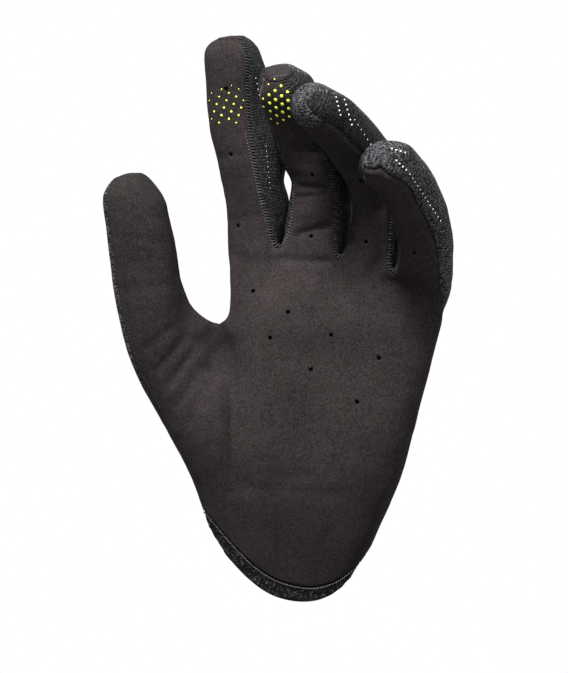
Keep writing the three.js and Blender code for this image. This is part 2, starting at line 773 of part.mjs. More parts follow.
const glove = new THREE.Group();
function addPiece(name, geometry, material) {
  const piece = new THREE.Mesh(geometry, material);
  piece.name = name;
  glove.add(piece);
}
addPiece("palm_suede", perforated(panelGeometry("palm_suede", suedeWall)), suede);
["back_mesh", "thumb_back"].forEach((name) => addPiece(name, panelGeometry(name, meshWall), mesh));
["index_middle", "middle_ring", "ring_little"].forEach((between) => {
  const name = "fourchette_" + between;
  addPiece(name, panelGeometry(name, meshWall), mesh);
});
["index_tip_cap", "middle_tip_cap"].forEach((name) =>
  addPiece(name, panelGeometry(name, suedeWall), suede),
);
addPiece("cuff_binding", bindingGeometry(), elastic);

export default glove;
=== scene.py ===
import math
import bpy
import numpy as np
from mathutils import Matrix, Vector, noise
from mathutils.bvhtree import BVHTree
from mathutils.kdtree import KDTree


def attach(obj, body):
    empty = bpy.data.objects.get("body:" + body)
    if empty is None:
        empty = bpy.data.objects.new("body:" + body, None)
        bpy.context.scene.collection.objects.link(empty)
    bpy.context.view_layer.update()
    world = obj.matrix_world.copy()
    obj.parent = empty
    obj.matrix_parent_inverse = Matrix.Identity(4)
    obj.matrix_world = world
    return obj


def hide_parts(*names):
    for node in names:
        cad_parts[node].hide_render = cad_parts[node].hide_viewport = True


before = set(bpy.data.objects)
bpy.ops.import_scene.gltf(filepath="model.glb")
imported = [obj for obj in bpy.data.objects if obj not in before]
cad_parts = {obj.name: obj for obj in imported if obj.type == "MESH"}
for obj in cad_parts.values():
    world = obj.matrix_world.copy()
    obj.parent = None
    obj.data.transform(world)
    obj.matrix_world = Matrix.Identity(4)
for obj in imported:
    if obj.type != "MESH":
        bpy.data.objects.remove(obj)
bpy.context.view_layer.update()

# A left cycling glove, held up in its worn shape. Sizes are in millimetres until a mesh is made.
mm = 0.001
scene = bpy.context.scene

# Camera: level with the middle of the glove, straight in front of the palm
view = {"target": (-1.63, 0, 77.6), "distance": 1200, "lens": 157.3}
camData = bpy.data.cameras.new("camera")
camData.sensor_fit = "VERTICAL"
camData.sensor_height = 36
camData.lens = view["lens"]
camData.clip_start = 0.05
camData.clip_end = 30
cam = bpy.data.objects.new("camera", camData)
cam.location = Vector(view["target"]) * mm + Vector((0, -view["distance"] * mm, 0))
cam.rotation_euler = (math.pi / 2, 0, 0)
scene.collection.objects.link(cam)
scene.camera = cam

# Sizes of the hand part, the same as in the model's source
hand = {
    "wristBreadth": 69, "wristDepth": 46, "wristRoundness": 2.2,
    "palmBreadth": 88.5, "palmDepth": 34, "palmRoundness": 2.5, "palmShift": 18,
    "thumbCrotch": 83.5, "palmCup": 9, "palmCupSharpness": 1.5, "palmThinning": 0.22,
    "tongueDrop": 21.5, "tongueAngle": 6, "tongueSharpness": 2.4, "backDrop": 7, "backSharpness": 1.8,
    "wristFlare": 0.42, "hemTilt": 6.8, "hemShear": 0.12,
    "palmSuede": (-78, 92), "palmBack": (-102, 112),
    "hemSuede": (-98, 96), "hemBack": (-120, 118), "hemWeb": (-44, 214),
}
digitShape = {
    "depthShare": 0.9, "roundness": 2.3, "domeLength": 11, "domeRoundness": 2.4,
    "patchAngle": 58, "rootFollow": 0.18, "rowHeight": 8,
    "webArch": 2, "thumbWebDrop": 4, "thumbWebShare": 0.75,
}
cage = {
    "digitColumns": 4, "sideColumns": 3, "trunkRows": 12, "palmRows": 4, "domeRows": 2,
    "thumbPanelRow": 4, "webSweep": (1.3, 0, -0.2), "webInset": 0.7,
    "lineSamples": 120, "palmRowHeight": 0.8, "domeRowHeight": 0.6,
    "fitLevels": 2, "fitRounds": 3, "fitShare": 0.9,
}
digits = {
    "index": {
        "length": 118, "breadth": 24.5, "across": -0.373, "depth": 0.1, "height": 1,
        "bones": (0.475, 0.25, 0.275), "lean": (2, -14, -5), "curl": (0, 4, 8),
        "turn": (30, 52, 34, 22), "girth": (0.93, 1.14, 1, 0.92), "root": (0.27, 0.2),
        "suede": (-62, 54), "back": (-118, 118),
    },
    "middle": {
        "length": 111, "breadth": 24, "across": -0.148, "depth": 0.04, "height": 1.01,
        "bones": (0.475, 0.265, 0.26), "lean": (9.5, -17, -24), "curl": (6, 20, 38),
        "turn": (10, 22, 34, 44), "girth": (1.02, 1.08, 1, 0.96), "root": (0.265, 0.17),
        "suede": (-46, 42), "back": (-118, 118),
    },
    "ring": {
        "length": 115, "breadth": 22.5, "across": 0.102, "depth": -0.06, "height": 1.01,
        "bones": (0.45, 0.3, 0.25), "lean": (12, -31, -51), "curl": (13, 32, 40),
        "turn": (12, 32, 56, 72), "girth": (0.99, 1.02, 1, 0.94), "root": (0.22, 0.13),
        "suede": (-46, 42), "back": (-118, 118),
    },
    "little": {
        "length": 92, "breadth": 22, "across": 0.405, "depth": -0.2, "height": 0.98,
        "bones": (0.44, 0.3, 0.26), "lean": (1, -23, -57), "curl": (26, 35, 50),
        "turn": (16, 38, 56, 72), "girth": (1, 1.02, 1, 0.94), "root": (0.29, 0.14),
        "suede": (-46, 44), "back": (-118, 118),
    },
    "thumb": {
        "length": 75, "breadth": 27.5, "across": -0.78, "depth": -0.2, "height": 0.84,
        "bones": (0.31, 0.33, 0.36), "lean": (-13, -8, -11), "curl": (8, 6, 4),
        "turn": (0, 0, 0, 0), "girth": (1.03, 1, 0.95, 0.9), "root": (0.2, 0.2),
        "suede": (-64, 88), "back": (-112, 118),
    },
}
fingerNames = ["index", "middle", "ring", "little"]
towardsViewer = Vector((0, -1, 0))


def outlinePoint(angle, roundness):
    s = math.sin(math.radians(angle))
    c = math.cos(math.radians(angle))
    return (math.copysign(abs(s) ** (2 / roundness), s), math.copysign(abs(c) ** (2 / roundness), c))


def profile(values, t):
    last = len(values) - 1
    i = min(int(math.floor(t * last)), last - 1)
    at = lambda k: values[max(0, min(last, k))]
    slope = lambda k: (at(k + 1) - at(k - 1)) / 2
    f = t * last - i
    rise = at(i + 1) - at(i)
    return (at(i) + f * slope(i) + f ** 2 * (3 * rise - 2 * slope(i) - slope(i + 1))
            + f ** 3 * (slope(i) + slope(i + 1) - 2 * rise))


def spread(start, end, steps):
    return [start + (end - start) * i / steps for i in range(steps + 1)]


def lerp(a, b, t):
    return a + (b - a) * t


def columnAngles(suede, back, columns):
    side = cage["sideColumns"]
    return (spread(suede[0], suede[1], columns) + spread(suede[1], back[1], side)[1:-1]
            + spread(back[1], back[0] + 360, columns) + spread(back[0], suede[0], side)[1:-1])


# The smooth line through a digit's bones, sampled so that it can be read by its length
def centreline(digit):
    joints = [Vector((hand["palmShift"] + digit["across"] * hand["palmBreadth"],
                      digit["depth"] * hand["palmDepth"], digit["height"] * hand["thumbCrotch"]))]
    for share, lean, curl in zip(digit["bones"], digit["lean"], digit["curl"]):
        a, b = math.radians(lean), math.radians(curl)
        way = Vector((math.sin(a) * math.cos(b), -math.sin(b), math.cos(a) * math.cos(b)))
        joints.append(joints[-1] + way * share * digit["length"])
    ends = [joints[0] * 2 - joints[1]] + joints + [joints[-1] * 2 - joints[-2]]
    line = []
    for k in range(1, len(ends) - 2):
        p0, p1, p2, p3 = ends[k - 1:k + 3]
        d0, d1, d2 = ((p1 - p0).length ** 0.5, (p2 - p1).length ** 0.5, (p3 - p2).length ** 0.5)
        m1 = ((p1 - p0) / d0 - (p2 - p0) / (d0 + d1) + (p2 - p1) / d1) * d1
        m2 = ((p2 - p1) / d1 - (p3 - p1) / (d1 + d2) + (p3 - p2) / d2) * d1
        for i in range(cage["lineSamples"]):
            line.append(hermite(p1, m1, p2, m2, i / cage["lineSamples"]))
    line.append(joints[-1])
    run = [0.0]
    for a, b in zip(line, line[1:]):
        run.append(run[-1] + (b - a).length)
    return {"points": line, "run": np.array(run) / run[-1]}


def hermite(p0, t0, p1, t1, t):
    return (p0 * (2 * t ** 3 - 3 * t ** 2 + 1) + t0 * (t ** 3 - 2 * t ** 2 + t)
            + p1 * (-2 * t ** 3 + 3 * t ** 2) + t1 * (t ** 3 - t ** 2))


def lineAt(curve, share):
    k = int(np.searchsorted(curve["run"], share, side="right")) - 1
    k = max(0, min(len(curve["points"]) - 2, k))
    f = (share - curve["run"][k]) / (curve["run"][k + 1] - curve["run"][k])
    a, b = curve["points"][k], curve["points"][k + 1]
    lo, hi = curve["points"][max(0, k - 1)], curve["points"][min(len(curve["points"]) - 1, k + 2)]
    return a.lerp(b, f), (hi - lo).normalized()


def digitPoint(digit, curve, share, across, front):
    middle, tangent = lineAt(curve, share)
    palmar = (towardsViewer - tangent * towardsViewer.dot(tangent)).normalized()
    t = max(0, (share - digit["root"][0]) / (1 - digit["root"][0]))
    palmar = Matrix.Rotation(-math.radians(profile(digit["turn"], t)), 3, tangent) @ palmar
    side = tangent.cross(palmar)
    half = digit["breadth"] / 2 * profile(digit["girth"], t)
    return middle + side * half * across + palmar * half * digitShape["depthShare"] * front


def rootShare(digit, angle):
    return lerp(digit["root"][1], digit["root"][0], (1 + math.cos(math.radians(angle))) / 2)


def digitOutlinePoint(digit, curve, share, angle):
    return digitPoint(digit, curve, share, *outlinePoint(angle, digitShape["roundness"]))


# The control cage: points, and quads with their panel and their place in the cloth's own grid
points = []
quads = []


def addPoint(p):
    points.append(p.copy())
    return len(points) - 1


def stretchOf(column, columns):
    side = cage["sideColumns"]
    if column < columns:
        return "front"
    if column < columns + side:
        return "right"
    return "back" if column < 2 * columns + side else "left"


def joinRings(lower, upper, panelOf, vLow, vHigh, uStart=0):
    n = len(lower)
    for i in range(n):
        j = (i + 1) % n
        u0, u1 = uStart + i, uStart + i + 1
        quads.append(((lower[i], lower[j], upper[j], upper[i]), panelOf(i),
                      ((u0, vLow), (u1, vLow), (u1, vHigh), (u0, vHigh))))


def ringsBetween(lower, lowerTangents, upper, upperTangents, rows):
    rings = [lower]
    for row in range(1, rows):
        ring = []
        for i, a in enumerate(lower):
            run = (points[upper[i]] - points[a]).length
            ring.append(addPoint(hermite(points[a], lowerTangents[i] * run, points[upper[i]],
                                         upperTangents[i] * run, row / rows)))
        rings.append(ring)
    return rings + [upper]


def addWeb(leftTube, rightTube, arch, drop=0, share=0.5):
    low = Vector((0, 0, -drop))
    front = leftTube[-1][0].lerp(rightTube[0][0], share) + low
    back = leftTube[-1][1].lerp(rightTube[0][1], share) + low
    return [addPoint(front.lerp(back, t) + Vector((0, 0, arch * math.sin(math.pi * t))))
            for t in spread(0, 1, cage["sideColumns"])]


def rootPairs(digit, curve):
    columns = cage["digitColumns"]
    angles = columnAngles(digit["suede"], digit["back"], columns)
    at = lambda a: digitOutlinePoint(digit, curve, rootShare(digit, a), a)
    backStart = columns + cage["sideColumns"]
    return [(at(angles[i]), at(angles[backStart + columns - i])) for i in range(columns + 1)]


def rootRing(pairs, leftWeb, rightWeb):
    inner = pairs[1:-1]
    fronts = [addPoint(p[0]) for p in inner]
    backs = [addPoint(p[1]) for p in inner]
    return ([leftWeb[0]] + fronts + [rightWeb[0]] + rightWeb[1:-1] + [rightWeb[-1]]
            + backs[::-1] + [leftWeb[-1]] + leftWeb[1:-1][::-1])


def freeSide(digit, curve, right):
    k = 1 if right else 0
    angles = spread(digit["suede"][k], digit["back"][k], cage["sideColumns"])
    return [addPoint(digitOutlinePoint(digit, curve, rootShare(digit, a), a)) for a in angles]


def addDigit(digit, curve, root, panelOf, uStart, vStart):
    columns, side = cage["digitColumns"], cage["sideColumns"]
    angles = columnAngles(digit["suede"], digit["back"], columns)
    domeStart = 1 - digitShape["domeLength"] / digit["length"]
    rows = round((domeStart - digit["root"][0]) * digit["length"] / digitShape["rowHeight"])
    state = {"below": root, "v": vStart}

    def climb(ring, height, onDome):
        joinRings(state["below"], ring, lambda i: panelOf(stretchOf(i, columns), onDome),
                  state["v"], state["v"] + height, uStart)
        state["below"] = ring
        state["v"] += height

    for i in range(1, rows + 1):
        ring = []
        for a in angles:
            share = lerp(rootShare(digit, a), domeStart, i / rows)
            ring.append(digitOutlinePoint(digit, curve, share, a))
        if i == 1:
            tangent = lineAt(curve, digit["root"][0])[1]
            for k, p in enumerate(ring):
                rise = (p - points[root[k]]).dot(tangent)
                ring[k] = p.lerp(points[root[k]] + tangent * rise, digitShape["rootFollow"])
        climb([addPoint(p) for p in ring], 1.0, False)

    def domePoint(across, front):
        power = digitShape["domeRoundness"]
        rise = (1 - min(1, math.hypot(across, front)) ** power) ** (1 / power)
        return digitPoint(digit, curve, lerp(domeStart, 1, rise), across, front)

    unitRing = [outlinePoint(a, digitShape["roundness"]) for a in angles]
    for i in range(1, cage["domeRows"] + 1):
        reach = math.cos(math.radians(digitShape["patchAngle"] * i / cage["domeRows"]))
        climb([addPoint(domePoint(x * reach, y * reach)) for x, y in unitRing], cage["domeRowHeight"], True)
    reach = math.cos(math.radians(digitShape["patchAngle"]))
    place = [(x * reach, y * reach) for x, y in unitRing]
    ring = state["below"]
    grid = []
    for j in range(side + 1):
        row = []
        for i in range(columns + 1):
            f, b = i, columns + side + columns - i
            l, r = (0 if j == 0 else len(ring) - j), columns + j
            if j == 0:
                row.append(ring[f])
            elif j == side:
                row.append(ring[b])
            elif i == 0:
                row.append(ring[l])
            elif i == columns:
                row.append(ring[r])
            else:
                u, v = i / columns, j / side
                mix = []
                for k in (0, 1):
                    rowsMix = lerp(place[f][k], place[b][k], v)
                    columnsMix = lerp(place[l][k], place[r][k], u)
                    first = lerp(place[0][k], place[2 * columns + side][k], v)
                    last = lerp(place[columns][k], place[columns + side][k], v)
                    mix.append(rowsMix + columnsMix - lerp(first, last, u))
                row.append(addPoint(domePoint(*mix)))
        grid.append(row)
    height = cage["domeRowHeight"]
    for j in range(side):
        for i in range(columns):
            u, v = uStart + i, state["v"] + j * height
            corners = (grid[j][i], grid[j][i + 1], grid[j + 1][i + 1], grid[j + 1][i])
            uv = ((u, v), (u + 1, v), (u + 1, v + height), (u, v + height))
            quads.append((corners, panelOf("tip", True), uv))


def hemHeight(angle):
    c = math.cos(math.radians(angle - hand["tongueAngle"]))
    if c > 0:
        drop = hand["tongueDrop"] * c ** hand["tongueSharpness"]
    else:
        drop = hand["backDrop"] * (-c) ** hand["backSharpness"]
    return -drop - hand["hemTilt"] * math.sin(math.radians(angle))


def hemPoint(angle):
    across, front = outlinePoint(angle, hand["wristRoundness"])
    return Vector((hand["wristBreadth"] / 2 * across, -hand["wristDepth"] / 2 * front, hemHeight(angle)))


def hemTangent(angle):
    lean = hand["wristFlare"] * math.sin(math.radians(angle)) + hand["hemShear"]
    return Vector((lean, 0, 1)).normalized()


def palmMiddlePoint(angle):
    across, front = outlinePoint(angle, hand["palmRoundness"])
    return Vector((hand["palmShift"] + hand["palmBreadth"] / 2 * across,
                   -hand["palmDepth"] / 2 * front * (1 - hand["palmThinning"] * across)
                   - hand["palmCup"] * max(0, across) ** hand["palmCupSharpness"], hand["thumbCrotch"]))


def buildCage():
    dc, sc = cage["digitColumns"], cage["sideColumns"]
    palmColumns = dc * len(fingerNames)
    trunkColumns = palmColumns + dc
    curves = {name: centreline(d) for name, d in digits.items()}
    pairs = {name: rootPairs(d, curves[name]) for name, d in digits.items()}
    arch = digitShape["webArch"]
    webs = [freeSide(digits["index"], curves["index"], False)]
    webs += [addWeb(pairs[a], pairs[b], arch) for a, b in zip(fingerNames, fingerNames[1:])]
    webs.append(freeSide(digits["little"], curves["little"], True))
    fingerRoots = [rootRing(pairs[name], webs[i], webs[i + 1]) for i, name in enumerate(fingerNames)]

    front, back, ways = [], [], {}
    backStart = dc + sc
    for k, name in enumerate(fingerNames):
        tangent = lineAt(curves[name], digits[name]["root"][0])[1]
        for p in fingerRoots[k]:
            ways[p] = ways.get(p, Vector((0, 0, 0))) + tangent
        skip = 1 if k else 0
        front += fingerRoots[k][skip:dc + 1]
        back += fingerRoots[k][backStart:backStart + dc + 1][::-1][skip:]
    palmHigh = front + webs[-1][1:-1] + back[::-1] + webs[0][1:-1][::-1]
    palmHighTangents = [ways[p].normalized() for p in palmHigh]

    angles = columnAngles(hand["palmSuede"], hand["palmBack"], palmColumns)
    palmPairs = [(palmMiddlePoint(angles[i]), palmMiddlePoint(angles[2 * palmColumns + sc - i]))
                 for i in range(palmColumns + 1)]
    thumbWeb = addWeb(pairs["thumb"], palmPairs, 0, digitShape["thumbWebDrop"], digitShape["thumbWebShare"])
    thumbOuter = freeSide(digits["thumb"], curves["thumb"], False)
    outerAngles = spread(hand["palmSuede"][1], hand["palmBack"][1], sc)
    palmOuter = [addPoint(palmMiddlePoint(a)) for a in outerAngles]
    thumbRoot = rootRing(pairs["thumb"], thumbOuter, thumbWeb)
    palmRoot = rootRing(palmPairs, thumbWeb, palmOuter)

    hs, hb, hw = hand["hemSuede"], hand["hemBack"], hand["hemWeb"]
    stops = [hs[0], hw[0], hs[1], hb[1], hw[1], hb[0] + 360, hs[0] + 360]
    hemAngles = []
    for a, b, steps in zip(stops, stops[1:], (dc, palmColumns, sc, palmColumns, dc, sc)):
        hemAngles += spread(a, b, steps)[:-1]
    hem = [addPoint(hemPoint(a)) for a in hemAngles]
    trunkTop = thumbRoot[:dc + 1] + palmRoot[1:2 * palmColumns + sc] + thumbRoot[dc + sc:]
    finger = dict(zip(palmRoot, palmHigh))
    thumbTangent = lineAt(curves["thumb"], digits["thumb"]["root"][0])[1]
    topTangents = []
    for i, p in enumerate(trunkTop):
        if p == thumbWeb[0]:
            topTangents.append(Vector((0, cage["webInset"], 1)).normalized())
        elif p == thumbWeb[-1]:
            topTangents.append(Vector((0, -cage["webInset"], 1)).normalized())
        elif p not in finger:
            topTangents.append(thumbTangent)
        else:
            topTangents.append((points[finger[p]] - points[hem[i]]).normalized())
    lowTangents = [Vector(cage["webSweep"]) if p in thumbWeb else topTangents[trunkTop.index(p)]
                   for p in palmRoot]
    hemTangents = [hemTangent(a) for a in hemAngles]
    trunkRings = ringsBetween(hem, hemTangents, trunkTop, topTangents, cage["trunkRows"])
    palmRings = ringsBetween(palmRoot, lowTangents, palmHigh, palmHighTangents, cage["palmRows"])

    thumbBackFrom = trunkColumns + sc + palmColumns
    for row in range(cage["trunkRows"]):
        def trunkPanel(i):
            if i < trunkColumns:
                return "palm_suede"
            return "thumb_back" if i >= thumbBackFrom and row >= cage["thumbPanelRow"] else "back_mesh"
        joinRings(trunkRings[row], trunkRings[row + 1], trunkPanel, row, row + 1)

    def palmPanel(i):
        return "palm_suede" if stretchOf(i, palmColumns) in ("front", "left") else "back_mesh"

    def thumbPanel(side, onDome):
        return "palm_suede" if side in ("front", "right", "tip") else "thumb_back"

    rise = cage["palmRowHeight"]
    for row in range(cage["palmRows"]):
        v = cage["trunkRows"] + row * rise
        joinRings(palmRings[row], palmRings[row + 1], palmPanel, v, v + rise, dc)
    addDigit(digits["thumb"], curves["thumb"], thumbRoot, thumbPanel, 0, cage["trunkRows"])
    sides = {"index": ("palm_suede", "fourchette_index_middle"),
             "middle": ("fourchette_index_middle", "fourchette_middle_ring"),
             "ring": ("fourchette_middle_ring", "fourchette_ring_little"),
             "little": ("fourchette_ring_little", "back_mesh")}
    fingerStart = cage["trunkRows"] + cage["palmRows"] * rise
    for k, name in enumerate(fingerNames):
        def fingerPanel(side, onDome):
            if side == "front":
                return "back_mesh" if onDome and name == "ring" else "palm_suede"
            if side == "tip":
                return name + "_tip_cap" if name in ("index", "middle") else "back_mesh"
            return "back_mesh" if side == "back" else sides[name][side == "right"]
        addDigit(digits[name], curves[name], fingerRoots[k], fingerPanel, dc * (k + 1), fingerStart)


buildCage()
print("cage:", len(points), "points,", len(quads), "quads")


# The cloth: one smooth sheet over the whole glove, which folds, seams and edges then shape
cloth = {
    "levels": 3, "gridWidth": 5.6, "gridHeight": 8.0,
    "suedeWall": 1.2, "meshWall": 1.6, "seamGap": 0.3,
    "grooveDepth": 0.75, "grooveWidth": 0.9, "faintGroove": 0.2,
    "lipHeight": 0.15, "lipAt": 2.4, "lipWidth": 1.3, "facing": 1.6, "foldEnds": 0.6,
    "rumples": [(0.35, 11, 3.1), (0.1, 3.2, 8.7)], "calmReach": 4, "calmShare": 0.2,
}
# Folds lie where the photograph shows them. Each has its two ends, seen in front in mm, and its
# width and depth in mm, which is below zero for a valley and above it for a ridge.
folds = {
    "crotch valley": ((-27, 82), (-31, 60), 4.4, -3.0),
    "crotch valley, outer": ((-28, 82), (-37, 74), 2.6, -1.2),
    "crotch side": ((-25, 96), (-22, 82), 2.4, -0.9),
    "thumb wrinkle 1": ((-36, 74), (-48, 58), 1.7, -0.8),
    "thumb wrinkle 2": ((-41, 78), (-54, 63), 1.8, -0.7),
    "thumb wrinkle 3": ((-34, 66), (-45, 49), 1.6, -0.7),
    "thumb wrinkle 4": ((-47, 82), (-58, 72), 1.8, -0.5),
    "thumb wrinkle 5": ((-33, 58), (-40, 42), 1.8, -0.5),
    "thumb ridge": ((-38, 70), (-49, 53), 1.8, 0.5),
    "thumb ball": ((-42, 52), (-30, 26), 12, 3.4),
    "heel of the palm": ((36, 50), (28, 14), 13, 2.2),
    "palm hollow": ((6, 52), (8, 24), 13, -2.0),
    "heel crease": ((-20, 16), (24, 13), 3.2, -0.7),
    "heel crease, upper": ((-8, 21), (16, 20), 2.2, -0.35),
    "knuckle pads": ((-8, 82), (34, 80), 9, 1.5),
    "edge of the palm": ((-16, 110), (-21, 86), 4.5, -1.3),
    "pad below the index": ((-15, 113), (-13, 99), 2.6, 0.7),
    "dent below the index": ((-7, 110), (-7, 101), 2.6, -0.8),
    "dent below the middle": ((-4, 109), (17, 108), 1.7, -1.1),
    "pad below the middle": ((13, 104), (7, 88), 3.4, 0.7),
    "dent below the ring": ((20, 108), (22, 92), 2.6, -0.9),
    "pad below the ring": ((28, 103), (29, 92), 3, 0.6),
    "dent outside the ring": ((38, 110), (30, 98), 2.6, -0.8),
    "little finger's base": ((41, 101), (60, 93), 2.6, -1.2),
    "outer palm": ((50, 88), (56, 74), 5, -0.7),
    "middle crease 1": ((1, 155), (19, 152), 1.7, -1.3),
    "middle crease 2": ((3, 138.6), (17, 138), 1.3, -1.0),
    "middle crease 3": ((3, 134.4), (17, 135.4), 1.1, -0.7),
    "middle crease 4": ((3, 119), (18, 123), 1.6, -1.3),
    "middle roll 1": ((3, 146), (14, 144), 3, 0.7),
    "middle roll 2": ((4, 128), (15, 128), 3, 0.7),
    "ring crease 1": ((24, 131), (38, 129), 1.8, -1.0),
    "ring crease 2": ((22, 146), (38, 140), 1.8, -0.8),
    "ring roll": ((24, 123), (36, 121), 4, 0.7),
    "little crease": ((42, 128), (54, 132), 1.6, -0.7),
    "index crease 1": ((-33, 150), (-16, 152), 1.8, -0.35),
    "index crease 2": ((-29, 124), (-12, 127), 2.2, -0.35),
    "index base": ((-24, 112), (-11, 106), 2.4, -0.5),
    "thumb crease 1": ((-72, 118), (-50, 116), 2, -0.35),
    "thumb crease 2": ((-70, 96), (-47, 99), 2.2, -0.3),
    "hem ripple 1": ((-22, 8), (-16, -8), 2.4, -0.4),
    "hem ripple 2": ((16, -2), (14, -18), 2.4, -0.4),
    "hem ripple 3": ((-4, -4), (-3, -20), 2.2, -0.35),
}
backFolds = {
    "index knuckle": ((-20, 98), (-10, 98), 7, 1.6),
    "middle knuckle": ((2, 98), (12, 98), 7, 1.6),
    "ring knuckle": ((24, 96), (34, 96), 7, 1.4),
    "little knuckle": ((46, 92), (54, 92), 6, 1.2),
    "between index and middle": ((-4, 104), (-3, 80), 3, -0.9),
    "between middle and ring": ((18, 102), (17, 80), 3, -0.9),
    "between ring and little": ((40, 98), (37, 78), 3, -0.8),
    "back of the thumb's crotch": ((-28, 82), (-34, 56), 4, -1.4),
    "back crease": ((-18, 14), (24, 10), 3, -0.5),
}
# Where the worn glove is fuller or slimmer than its smooth form, on all sides: around which
# place seen in front, how far that reaches across and up, and by how many mm it rises
bulges = {
    "outer edge of the palm": ((50, 55), (9, 26), -1.2),
    "outer edge of the heel": ((38, 8), (7, 14), -0.9),
    "thumb tip, inner corner": ((-54, 140), (7, 6), -1.9),
    "thumb's outer edge": ((-69, 86), (6, 20), -0.8),
    "thumb tip, outer edge": ((-75, 135), (5, 14), -0.6),
    "inner edge of the thumb's root": ((-39, 88), (6, 10), -2.0),
    "thumb's crotch": ((-26, 80), (6, 5), 2.8),
    "between index and middle, upper": ((1.4, 141), (4, 5), -1.9),
    "between index and middle, lower": ((-1, 124), (4, 8), 1.1),
    "index tip, outer corner": ((-32.5, 195), (4, 5), 1.0),
    "top of the middle finger": ((5, 187), (6, 4), -0.9),
    "middle finger, inner corner": ((-9, 186), (4, 4), 1.3),
    "top of the ring finger": ((19, 179), (8, 5), -1.2),
    "top of the little finger": ((48, 154), (6, 4), 1.4),
}
# At these tips the seam is turned in flat, by the last share, and the outline stays smooth
flatSeams = {
    "thumb tip": ((-71, 142), (10, 13), 0.9),
    "index tip": ((-16, 199), (7, 6), 0.85),
}
panelNames = ["palm_suede", "back_mesh", "thumb_back", "fourchette_index_middle", "fourchette_middle_ring",
              "fourchette_ring_little", "index_tip_cap", "middle_tip_cap"]
suedePanels = ("palm_suede", "index_tip_cap", "middle_tip_cap")


def evaluatedArrays(obj):
    bpy.context.view_layer.update()
    mesh = obj.evaluated_get(bpy.context.evaluated_depsgraph_get()).to_mesh()
    co = np.empty(len(mesh.vertices) * 3)
    mesh.vertices.foreach_get("co", co)
    corners = np.empty(len(mesh.loops), dtype=np.int32)
    mesh.loops.foreach_get("vertex_index", corners)
    panel = np.empty(len(mesh.polygons), dtype=np.int32)
    mesh.polygons.foreach_get("material_index", panel)
    uv = np.empty(len(mesh.loops) * 2)
    mesh.uv_layers[0].data.foreach_get("uv", uv)
    return co.reshape(-1, 3), corners.reshape(-1, 4), panel, uv.reshape(-1, 4, 2)


def sheetNormals(co, faces):
    cross = np.cross(co[faces[:, 2]] - co[faces[:, 0]], co[faces[:, 3]] - co[faces[:, 1]])
    normals = np.zeros_like(co)
    for k in range(4):
        np.add.at(normals, faces[:, k], cross)
    return normals / (np.linalg.norm(normals, axis=1)[:, None] + 1e-12)


# Subdivides the cage. The cage is first pushed out until the smooth sheet passes through its
# own points, because subdivision alone would leave the fingers thinner than they are.
def smoothSheet():
    target = np.array([list(p) for p in points])
    mesh = bpy.data.meshes.new("gloveCage")
    mesh.from_pydata([list(p) for p in points], [], [q[0] for q in quads])
    for poly, q in zip(mesh.polygons, quads):
        poly.material_index = panelNames.index(q[1])
    layer = mesh.uv_layers.new(name="cloth")
    flat = [(u * cloth["gridWidth"] * mm, v * cloth["gridHeight"] * mm) for q in quads for u, v in q[2]]
    layer.data.foreach_set("uv", np.array(flat).ravel())
    for _ in panelNames:
        mesh.materials.append(None)
    obj = bpy.data.objects.new("gloveCage", mesh)
    scene.collection.objects.link(obj)
    subdivide = obj.modifiers.new("smooth", "SUBSURF")
    subdivide.levels = subdivide.render_levels = cage["fitLevels"]
    subdivide.use_limit_surface = False
    position = target.copy()
    for _ in range(cage["fitRounds"]):
        co = evaluatedArrays(obj)[0]
        position += (target - co[:len(points)]) * cage["fitShare"]
        mesh.vertices.foreach_set("co", position.ravel())
        mesh.update()
    subdivide.levels = subdivide.render_levels = cloth["levels"]
    arrays = evaluatedArrays(obj)
    bpy.data.objects.remove(obj)
    return arrays


# Where points appear from the camera, in the upright plane through the origin
def seenPlace(p):
    middle = np.array([view["target"][0], view["target"][2]])
    return middle + (p[:, [0, 2]] - middle) * (view["distance"] / (view["distance"] + p[:, 1]))[:, None]


def foldAt(seen, table):
    total = np.zeros(len(seen))
    for start, end, width, depth in table.values():
        along = np.array(end) - np.array(start)
        length = np.linalg.norm(along)
        t = ((seen - start) @ along) / length ** 2
        away = np.linalg.norm(seen - start - np.clip(t, 0, 1)[:, None] * along, axis=1)
        # a fold fades out towards its ends
        fade = np.clip(np.minimum(t, 1 - t) * length / width / 2 + cloth["foldEnds"], 0, 1)
        total += depth * fade * np.exp(-(away / width) ** 2)
    return total


# A soft round patch, 1 at its middle
def bell(seen, at, reach):
    return np.exp(-(((seen - at) / reach) ** 2).sum(axis=1))


def noiseAt(p, size, seed):
    return np.array([noise.noise(Vector(q) / size + Vector((seed, seed * 2.0, 0))) for q in p])


# A search tree of the middles of the edges in some of the seams
def seamTree(pairs):
    edges = [edge for pair in pairs for edge in seamEdges[pair]]
    found = KDTree(len(edges))
    for a, b in edges:
        found.insert((sheetCo[a] + sheetCo[b]) / 2, a)
    found.balance()
    return found


sheetCo, sheetFaces, sheetPanel, sheetUv = smoothSheet()
sheetNormal = sheetNormals(sheetCo, sheetFaces)

